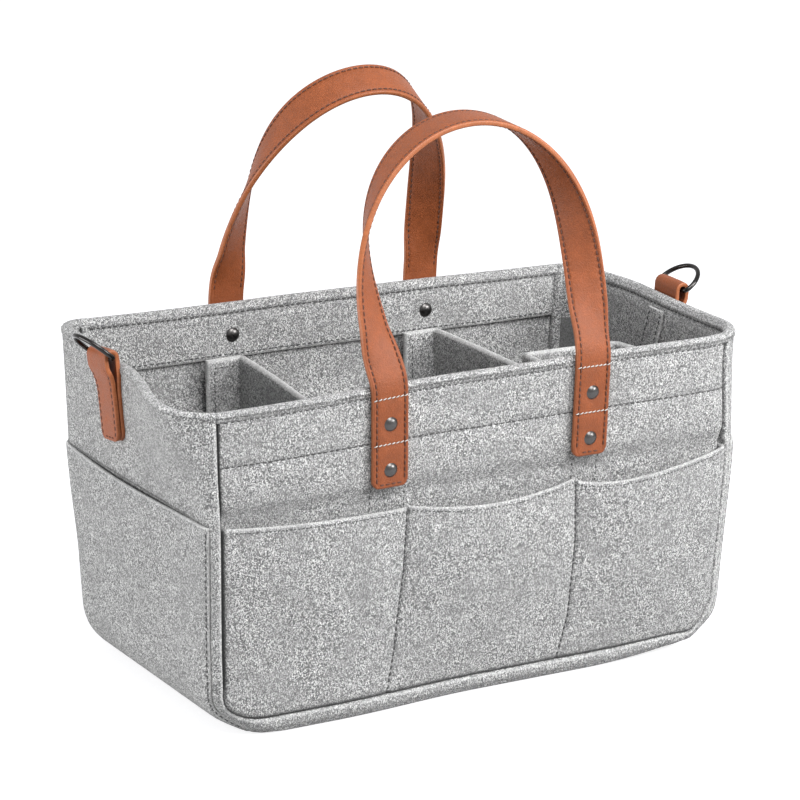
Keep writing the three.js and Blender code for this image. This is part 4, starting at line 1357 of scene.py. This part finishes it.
def build_handles():
    """The two leather straps, their stitching and their rivets."""
    for name, shape in STRAPS.items():
        strap = Strap(**shape)
        rivets, crossings = rivet_stations(strap, name)
        s, share_s = edged(0, strap.length, 2.4, 1.3, CUT_EDGE, crossings)
        half = strap.width / 2
        w, share_w = across_strip(half, [0, 0.04, 0.42, 1.2, 1.9, 2.35, 2.8, 3.3, 4.2, 6, 8, 10])
        width = strap.half_width(s)[:, None]
        end = np.minimum(s, strap.length - s)[:, None]
        grid_w = w[None, :] * (width / half)
        from_edge = np.minimum(width - np.abs(grid_w), end)
        puff = 0.30 * smooth(2.6, 7, from_edge) + 0.18 * np.exp(-(((from_edge - 1.3) / 0.9) ** 2))
        groove = GROOVE * np.exp(-(((from_edge - STRAP_SEAM) / 0.5) ** 2))
        dimple = np.zeros_like(grid_w)
        for spot in rivets:
            apart = np.hypot(s[:, None] - spot, grid_w)
            dimple += 0.75 * np.exp(-((apart / 7.0) ** 2))
        for spot in crossings:
            dimple += 0.4 * np.exp(-(((s[:, None] - spot) / 1.2) ** 2))
        out = strap.thick / 2 + (puff - groove - dimple) - 0.3
        free = smooth(strap.rim, strap.rim + 10, end)
        back = -strap.thick / 2 - (puff * 0.6 - groove) * free
        sheet = thick_sheet(strap.at(s[:, None], grid_w), out, back, share_s, share_w,
                            strap.normal(s)[:, None])
        piece = leather_piece(f"leather_{name}_handle", sheet, s, grid_w, settle)
        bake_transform(piece)
        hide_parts(*(f"handle_{name}_{part}" for part in ("arch", "leg_left", "leg_right")))
        stitches = [strap_stitches(strap, hand, sign) for sign in (1, -1) for hand in (-1, 1)]
        level = strap.thick / 2 - GROOVE
        ends = []
        for spot in (STRAP_SEAM, strap.length - STRAP_SEAM):
            track = strap.at(np.full(12, spot), np.linspace(-half + 4.2, half - 4.2, 12), level)
            ups = strap.normal(np.full(12, spot))
            ends.append(stitch_row(settle(track), ups, *HANDLE_STITCH))
        stitches[2:2] = ends
        leather_thread = thread_material("Leather thread", "thread")
        piece = join_rows(f"stitches_{name}_handle", stitches, leather_thread)
        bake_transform(piece)
        rows = []
        for spot in crossings:
            across = np.linspace(-half - 0.2, half + 0.2, 14)
            track = strap.at(np.full(14, spot), across, strap.thick / 2 - 0.3)
            rows.append(stitch_row(settle(track), strap.normal(np.full(14, spot)), *CROSS_STITCH))
        sew(f"stitches_{name}_handle_cross", rows, thread_material("Cross thread", "cross_thread"))
        build_rivets(name, strap, rivets)


def strap_stitches(strap, hand, sign):
    """The row along one side of a strap, on its face or, on the free length, its back."""
    spots = np.arange(STRAP_SEAM, strap.length - STRAP_SEAM, 1.5)
    across = hand * np.clip(strap.half_width(spots) - STRAP_SEAM, 0, None)
    if sign < 0:
        keep = (spots > strap.rim + 8) & (spots < strap.length - strap.rim - 8)
        spots, across = spots[keep], across[keep]
    track = strap.at(spots, across, sign * (strap.thick / 2 - GROOVE))
    return stitch_row(settle(track), strap.normal(spots, sign), *HANDLE_STITCH)


# Radius and height of a rivet's head with its post, and of the cap inside
RIVET_HEAD = ((0, 2.35), (1.2, 2.28), (2.3, 2.0), (3.2, 1.5), (3.85, 0.95), (4.25, 0.45),
              (4.5, 0.2), (4.6, 0), (4.6, -0.3), (4.0, -0.45), (1.6, -0.45), (1.6, -10.2),
              (0, -10.2))
RIVET_CAP = ((0, 2.0), (1.2, 1.94), (2.3, 1.7), (3.3, 1.25), (4.0, 0.7), (4.45, 0.25), (4.6, 0),
             (4.6, -0.25), (3.8, -0.35), (0, -0.35))


def build_rivets(name, strap, rivets):
    """Domed heads outside and caps inside, over the strap's four rivets."""
    felt = strap.body.felt
    for i, spot in enumerate([rivets[1], rivets[0], rivets[3], rivets[2]]):
        hand, level = ("left", "right")[i // 2], ("lower", "upper")[i % 2]
        outward = strap.normal(spot)
        along = between(spot, strap.s, strap.tangent)
        drop = RIVET_DROPS[name][1 - i % 2]
        inside = felt + (3.3 if drop < FACING_DEPTH else 0)
        sites = ((RIVET_HEAD, strap.thick / 2 - 0.85, 1, ""),
                 (RIVET_CAP, -strap.thick / 2 - STRAP_STANDOFF - inside - 0.05, -1, "_inner_cap"))
        for profile, height, sign, tail in sites:
            points, faces = turned_profile(profile)
            axes = np.stack([np.cross(outward * sign, along), outward * sign, along])
            placed = points @ axes + settle(strap.at(spot, 0.0, height))
            node_name = f"rivet_{name}_{hand}_{level}{tail}"
            piece = make_piece("metal_" + node_name, placed, faces,
                               [metal_material("Rivet metal", 0.8, 0.26)])
            finish_piece(piece, "caddy", [node_name])


# Ring tabs and rings


def tab_frame(hand):
    """Origin and axes (outwards, along the end, up the wall) of a ring tab."""
    body = Body()
    lean = math.atan2(body.lengths[1] - body.lengths[0], 2 * body.height)
    turn = 0 if hand == "right" else math.pi
    end = body.lengths[1] / 2 * (1 if turn == 0 else -1)
    place = Matrix.Translation((end, TAB_SHIFT[hand], body.height))
    foot = Matrix.Translation((0, 0, -TAB_DROP))
    slant = foot @ Matrix.Rotation(math.radians(TAB_LEAN[hand]), 4, "X") @ foot.inverted()
    wall = Matrix.Rotation(turn, 4, "Z") @ Matrix.Rotation(lean, 4, "Y")
    return np.array(place @ wall @ slant), lean


def placed_in(matrix, points):
    points = np.asarray(points, float)
    return points @ matrix[:3, :3].T + matrix[:3, 3]


def tab_path():
    """The tab's folded line, outwards and up the wall, from its outer foot to its inner one."""
    leaf, eye = TAB_LEATHER / 2, EYE_RADIUS
    inner = TAB_GAP + leaf
    outer, eye_x = inner + TAB_LEATHER + TAB_GAP, inner + eye
    path = [(outer, -TAB_DROP), (outer, -30), (outer + 0.1, -20), (outer + 0.5, -13),
            (outer + 1.6, -8), (eye_x + eye * 0.9, -3)]
    for a in math.pi * np.arange(13) / 12:
        path.append((eye_x + eye * math.cos(a), EYE_LIFT + eye * math.sin(a)))
    return np.array(path + [(inner, -4), (inner, -20), (inner, -TAB_DROP)])


def build_tabs():
    """Leather tabs folded round the rings and sewn to the ends of the body."""
    leaf, half = TAB_LEATHER / 2, TAB_WIDTH / 2
    path = tab_path()
    far = distances(path)
    s, share_s = edged(0, far[-1], 1.5, 0.9, CUT_EDGE)
    w, share_w = across_strip(half, [0, 0.03, 0.35, 0.9, 1.6, 2.1, 2.6, 3.2, 4.5, 6.5, 9])
    end = np.minimum(s, far[-1] - s)
    x, z = between(s, far, path).T
    waist = (TAB_WIDTH - TAB_NECK) / 2 * (1 - smooth(-19, -6, z))
    width = half - rounding(end, TAB_END) - waist
    grid_w = w[None, :] * (width / half)[:, None]
    grid = np.stack([np.broadcast_to(x[:, None], grid_w.shape), grid_w,
                     np.broadcast_to(z[:, None], grid_w.shape)], -1)
    from_edge = np.minimum(width[:, None] - np.abs(grid_w), end[:, None])
    groove = 0.3 * np.exp(-(((from_edge - TAB_SEAM) / 0.45) ** 2)) * (s < 46)[:, None]
    puff = 0.2 * smooth(2.2, 5, from_edge) * (s < 60)[:, None]
    path_out = np.stack([np.gradient(z, s), 0 * s, -np.gradient(x, s)], -1)
    sheet = thick_sheet(grid, leaf - groove + puff, -leaf, share_s, share_w, path_out[:, None])
    spots = np.arange(TAB_SEAM, 44, 1.5)
    level = between(spots, far, path)
    across = np.linspace(-TAB_NECK / 2 + 4.5, TAB_NECK / 2 - 4.5, 8)
    lines = [[(u + leaf - 0.25, side * v, up)
              for (u, up), v in zip(level, np.interp(spots, s, width) - TAB_SEAM)]
             for side in (-1, 1)]
    lines.append([(path[0, 0] + leaf - 0.25, v, -TAB_DROP + TAB_SEAM) for v in across])
    for hand in ("left", "right"):
        matrix, _ = tab_frame(hand)
        piece = leather_piece(f"leather_tab_{hand}", sheet, s, grid_w,
                              lambda points: placed_in(matrix, points))
        finish_piece(piece, "caddy", [f"ring_tab_{hand}"])
        rows = [stitch_row(placed_in(matrix, line), [matrix[:3, 0]] * len(line), *TAB_STITCH)
                for line in lines]
        sew(f"stitches_tab_{hand}", rows, thread_material("Leather thread", "thread"))


def build_rings():
    """D-shaped rings of round rod, held in the tabs."""
    wide, shoulder = RING_HALF_WIDTH, 3.0
    turns = np.arange(16) * 2 * math.pi / 16
    for hand in ("left", "right"):
        reach = RING_REACH[hand]
        path = []
        for i in range(49):
            a = math.radians(-90 + 180 * i / 48)
            path.append((reach - wide + wide * math.cos(a), wide * math.sin(a)))
        for sign, start in ((1, 90), (-1, 180)):
            for i in range(1, 9):
                a = math.radians(start + 90 * i / 8)
                across = sign * (wide - shoulder) + shoulder * math.sin(a)
                path.append((shoulder + shoulder * math.cos(a), across))
        flat = np.array([(*p, 0.0) for p in path[:-1]])
        ahead = np.roll(flat, -1, 0) - np.roll(flat, 1, 0)
        ahead /= np.linalg.norm(ahead, axis=1, keepdims=True)
        side = np.stack([ahead[:, 1], -ahead[:, 0], 0 * ahead[:, 0]], 1)
        rings = flat[:, None] + RING_ROD * (np.cos(turns)[None, :, None] * side[:, None]
                                            + np.sin(turns)[None, :, None] * np.array([0, 0, 1.0]))
        matrix, lean = tab_frame(hand)
        eye = Matrix.Translation((TAB_GAP + TAB_LEATHER / 2 + EYE_RADIUS, 0, EYE_LIFT))
        tilt = Matrix.Rotation(-math.radians(RING_TILT[hand]) - lean, 4, "Y")
        points = placed_in(np.array(Matrix(matrix) @ eye @ tilt), rings).reshape(-1, 3)
        piece = make_piece(f"metal_ring_{hand}", points, ring_faces(len(flat), len(turns)),
                           [metal_material()])
        finish_piece(piece, f"{hand}_ring", [f"ring_{hand}"])


# Stitches of the felt body


def build_felt_stitches():
    """Topstitching at the rim, the facing's hem, the pockets' seams and their edges."""
    body = Body()
    height, pitch = body.height, body.stitch
    rows = []
    u = np.linspace(0, 1, 700)
    for z, out, sign, far in (
        (height - TOPSTITCH_DROP + 0.1, -0.25, 1, 180),
        (height - HEM_DROP + 2.2, -body.felt - 3.0, -1, 166),
    ):
        line = settle(recess_faces(body, body.ring(u, z, out)))
        for side in (-1, 1):
            run = line[(np.abs(line[:, 0]) < far) & (side * line[:, 1] > 0)]
            run = run[np.argsort(run[:, 0])]
            rows.append(stitch_row(run, [(0, sign * side, 0)] * len(run), pitch, *RIM_STITCH))
    inside = height - TOPSTITCH_DROP
    line = settle(recess_faces(body, body.ring(u, inside, -body.felt - 2.6)))
    ups = (body.ring(u, inside, 0) - body.ring(u, inside, 5)) / 5
    rows.append(stitch_row(line, ups, pitch, *RIM_STITCH))
    hem = height - HEM_DROP
    for side in (-1, 1):
        x = np.linspace(-172, 172, 300)
        line = settle(body.face(x, hem, -body.recess(hem) - 0.25, side))
        rows.append(stitch_row(line, [(0, side, 0)] * 300, pitch, *HEM_STITCH))
        for across in (-78.8, -55.6, 61.3, 78.7):
            z = np.linspace(112, 146, 12)
            line = settle(body.face(across, z, -body.recess(z) - 0.15, side))
            rows.append(stitch_row(line, [(0, side, 0)] * 12, pitch, *TAPE_STITCH))
        x = np.linspace(-163, 163, 400)
        line, _ = pocket_point(body, x, 0.979, side, 1.42)
        rows.append(stitch_row(settle(line), [(0, side, 0)] * 400, *MOUTH_STITCH))
        for which in (0, 1):
            rise = np.linspace(0.04, 0.985, 60)
            seam = seam_x(lerp(POCKET_FOOT, MOUTH_AT_SEAM, rise), which)
            line, _ = pocket_point(body, seam, rise, side, 0.6)
            rows.append(stitch_row(settle(line), [(0, side, 0)] * 60, pitch, *SEAM_STITCH))
    for hand in (-1, 1):
        q = hand * np.linspace(164, body.rim_q(MOUTH_AT_SIDE) - 3, 90)
        width = body.band_width(q)
        for w in (RIB_WIDTH + 2.5, width - RIB_WIDTH - 2.5):
            line = settle(body.band(q, w))
            past = settle(body.band(q, w + 0.5))
            ahead = np.gradient(line, axis=0)
            ups = np.cross(ahead, past - line)
            ups *= np.sign(np.sum(ups * (line - [0, 0, 100]), 1))[:, None]
            ups /= np.linalg.norm(ups, axis=1, keepdims=True)
            level = pocket_rise(2.5 / (width / 2 - RIB_WIDTH), body.path(q)[1]) + 2.5
            rows.append(stitch_row(line + ups * level[:, None], ups, pitch, *END_STITCH))
    return sew("stitches_felt_body", rows, felt_thread())


# Stage: pale ground, soft lamps and the camera


GROUND_HALF = 12.0
GROUND_DROP = 0.0002
MIDDLE = (0, 0, 0.12)

# Place, where it points, size in metres and power in watts
LAMPS = {
    "Key": ((0.8, -1.0, 0.8), MIDDLE, (0.5, 0.5), 20),
    "Left": ((-1.6, 0.25, 0.17), MIDDLE, (1.3, 0.28), 24),
    "Top": ((0.0, -0.9, 1.5), (0, 0, 0.1), (0.9, 0.9), 31),
}

# The camera round the body's middle: degrees, metres, and pixels of an 800 pixel frame
CAMERA_TURN, CAMERA_RISE, CAMERA_ROLL = -30.39, 17.0, 1.06
CAMERA_DISTANCE, CAMERA_AIM = 2.3969, 0.15
CAMERA_FOCUS, CAMERA_SHIFT, FRAME = 3899.2, (-3.9, 12.5), 800


def seen_directly(tree):
    """1 where the camera sees a thing itself or in a gloss, 0 where it lights others."""
    path = node(tree, "ShaderNodeLightPath")
    seen = path.outputs["Is Camera Ray"]
    for ray in ("Is Glossy Ray", "Is Transmission Ray"):
        either = node(tree, "ShaderNodeMath", operation="MAXIMUM")
        tree.links.new(seen, either.inputs[0])
        tree.links.new(path.outputs[ray], either.inputs[1])
        seen = either.outputs[0]
    return seen


def ground_material():
    made, tree, shader = new_material("Pale ground")
    link = tree.links.new
    noise = node(tree, "ShaderNodeTexNoise", {"Scale": 3.0})
    tone = mixed(tree, noise.outputs["Fac"], (0.34, 0.34, 0.34), (0.36, 0.36, 0.36))
    link(tone, shader.inputs["Base Color"])
    set_values(shader, {"Roughness": 0.9, "Specular IOR Level": 0.0})
    shown = node(tree, "ShaderNodeBsdfDiffuse", {"Color": (0.40, 0.40, 0.42, 1)})
    glow = node(tree, "ShaderNodeEmission", {"Color": (1, 1, 1, 1), "Strength": 0.83})
    added = node(tree, "ShaderNodeAddShader")
    link(shown.outputs[0], added.inputs[0])
    link(glow.outputs[0], added.inputs[1])
    seen = node(tree, "ShaderNodeMixShader")
    link(seen_directly(tree), seen.inputs[0])
    link(shader.outputs[0], seen.inputs[1])
    link(added.outputs[0], seen.inputs[2])
    link(seen.outputs[0], tree.nodes["Material Output"].inputs["Surface"])
    return made


def build_world():
    world = bpy.data.worlds.new("Studio")
    world.use_nodes = True
    bpy.context.scene.world = world
    tree = world.node_tree
    tree.nodes.clear()
    lit = node(tree, "ShaderNodeBackground", {"Color": (0.96, 0.98, 1.0, 1), "Strength": 0.55})
    white = node(tree, "ShaderNodeBackground", {"Color": (1, 1, 1, 1), "Strength": 1.0})
    mix = node(tree, "ShaderNodeMixShader")
    out = node(tree, "ShaderNodeOutputWorld")
    tree.links.new(seen_directly(tree), mix.inputs[0])
    tree.links.new(lit.outputs[0], mix.inputs[1])
    tree.links.new(white.outputs[0], mix.inputs[2])
    tree.links.new(mix.outputs[0], out.inputs["Surface"])


def add_lamp(name, place, target, size, power):
    lamp = bpy.data.lights.new(name, "AREA")
    lamp.shape = "RECTANGLE"
    lamp.size, lamp.size_y = size
    lamp.energy = power
    holder = add_object(name, lamp)
    holder.location = place
    aim = Vector(target) - Vector(place)
    holder.rotation_euler = aim.to_track_quat("-Z", "Y").to_euler()


def build_stage():
    mesh = bpy.data.meshes.new("Ground")
    r, low = GROUND_HALF, -GROUND_DROP
    mesh.from_pydata([(-r, -r, low), (r, -r, low), (r, r, low), (-r, r, low)], [], [(0, 1, 2, 3)])
    mesh.materials.append(ground_material())
    add_object("Ground", mesh)
    build_world()
    for name, lamp in LAMPS.items():
        add_lamp(name, *lamp)
    build_camera()


def build_camera():
    turn, rise, roll = (math.radians(v) for v in (CAMERA_TURN, CAMERA_RISE, CAMERA_ROLL))
    level = math.cos(rise)
    back = Vector((math.sin(turn) * level, -math.cos(turn) * level, math.sin(rise)))
    right = Vector((math.cos(turn), math.sin(turn), 0))
    up = back.cross(right)
    rolled = right * math.cos(roll) + up * math.sin(roll)
    upright = up * math.cos(roll) - right * math.sin(roll)
    camera = bpy.data.cameras.new("Camera")
    camera.sensor_width = 36
    camera.lens = CAMERA_FOCUS / FRAME * 36
    camera.shift_x, camera.shift_y = (v / FRAME for v in CAMERA_SHIFT)
    camera.clip_start, camera.clip_end = 0.1, 60
    holder = add_object("Camera", camera)
    basis = Matrix((rolled, upright, back)).transposed().to_4x4()
    spot = Vector((0, 0, CAMERA_AIM)) + back * CAMERA_DISTANCE
    holder.matrix_world = Matrix.Translation(spot) @ basis
    bpy.context.scene.camera = holder
    bpy.context.scene.view_settings.view_transform = "Standard"


# Operators, panel and registration


class ORGANIZER_OT_band(bpy.types.Operator):
    """Builds the band of felt that makes the ends and the bottom"""

    bl_idname = "organizer.band"
    bl_label = "End and bottom band"

    def execute(self, context):
        build_band()
        return {"FINISHED"}


class ORGANIZER_OT_panels(bpy.types.Operator):
    """Builds the front and back panels"""

    bl_idname = "organizer.panels"
    bl_label = "Front and back panels"

    def execute(self, context):
        build_panels()
        return {"FINISHED"}


class ORGANIZER_OT_pockets(bpy.types.Operator):
    """Builds the three pockets on the front and on the back"""

    bl_idname = "organizer.pockets"
    bl_label = "Front and back pockets"

    def execute(self, context):
        build_pockets()
        return {"FINISHED"}


class ORGANIZER_OT_end_pockets(bpy.types.Operator):
    """Builds the pocket round each end"""

    bl_idname = "organizer.end_pockets"
    bl_label = "End pockets"

    def execute(self, context):
        build_end_pockets()
        return {"FINISHED"}


class ORGANIZER_OT_rim(bpy.types.Operator):
    """Builds the folded rim with its facing"""

    bl_idname = "organizer.rim"
    bl_label = "Rim"

    def execute(self, context):
        build_facing()
        build_end_strips()
        return {"FINISHED"}


class ORGANIZER_OT_floor(bpy.types.Operator):
    """Builds the floor board and the fastening tapes"""

    bl_idname = "organizer.floor"
    bl_label = "Floor board and tapes"

    def execute(self, context):
        build_board()
        build_tapes()
        return {"FINISHED"}


class ORGANIZER_OT_dividers(bpy.types.Operator):
    """Builds the three lift-out dividers"""

    bl_idname = "organizer.dividers"
    bl_label = "Dividers"

    def execute(self, context):
        build_dividers()
        return {"FINISHED"}


class ORGANIZER_OT_felt_stitches(bpy.types.Operator):
    """Sews the felt body"""

    bl_idname = "organizer.felt_stitches"
    bl_label = "Felt stitching"

    def execute(self, context):
        build_felt_stitches()
        return {"FINISHED"}


class ORGANIZER_OT_handles(bpy.types.Operator):
    """Builds the leather handles with their stitching and rivets"""

    bl_idname = "organizer.handles"
    bl_label = "Handles and rivets"

    def execute(self, context):
        build_handles()
        return {"FINISHED"}


class ORGANIZER_OT_ring_tabs(bpy.types.Operator):
    """Builds the leather tabs and their rings"""

    bl_idname = "organizer.ring_tabs"
    bl_label = "Ring tabs and rings"

    def execute(self, context):
        build_tabs()
        build_rings()
        return {"FINISHED"}


class ORGANIZER_OT_stage(bpy.types.Operator):
    """Sets the ground, the lamps and the camera"""

    bl_idname = "organizer.stage"
    bl_label = "Stage"

    def execute(self, context):
        build_stage()
        return {"FINISHED"}


STEPS = (
    ORGANIZER_OT_band,
    ORGANIZER_OT_panels,
    ORGANIZER_OT_pockets,
    ORGANIZER_OT_end_pockets,
    ORGANIZER_OT_rim,
    ORGANIZER_OT_floor,
    ORGANIZER_OT_dividers,
    ORGANIZER_OT_felt_stitches,
    ORGANIZER_OT_handles,
    ORGANIZER_OT_ring_tabs,
    ORGANIZER_OT_stage,
)


class ORGANIZER_PT_panel(bpy.types.Panel):
    """Lists the organizer's sizes, colours and building steps"""

    bl_idname = "ORGANIZER_PT_panel"
    bl_label = "Felt organizer"
    bl_space_type = "VIEW_3D"
    bl_region_type = "UI"
    bl_category = "Organizer"

    def draw(self, context):
        layout = self.layout
        for group in (context.scene.organizer_sizes, context.scene.organizer_colours):
            box = layout.box()
            for name in group.__annotations__:
                box.prop(group, name)
        for step in STEPS:
            layout.operator(step.bl_idname)


CLASSES = (OrganizerSizes, OrganizerColours, *STEPS, ORGANIZER_PT_panel)


def register():
    for cls in CLASSES:
        bpy.utils.register_class(cls)
    bpy.types.Scene.organizer_sizes = PointerProperty(type=OrganizerSizes)
    bpy.types.Scene.organizer_colours = PointerProperty(type=OrganizerColours)


def unregister():
    del bpy.types.Scene.organizer_colours
    del bpy.types.Scene.organizer_sizes
    for cls in reversed(CLASSES):
        bpy.utils.unregister_class(cls)


def main():
    register()
    for step in STEPS:
        group, name = step.bl_idname.split(".")
        getattr(getattr(bpy.ops, group), name)()


if __name__ == "__main__":
    main()
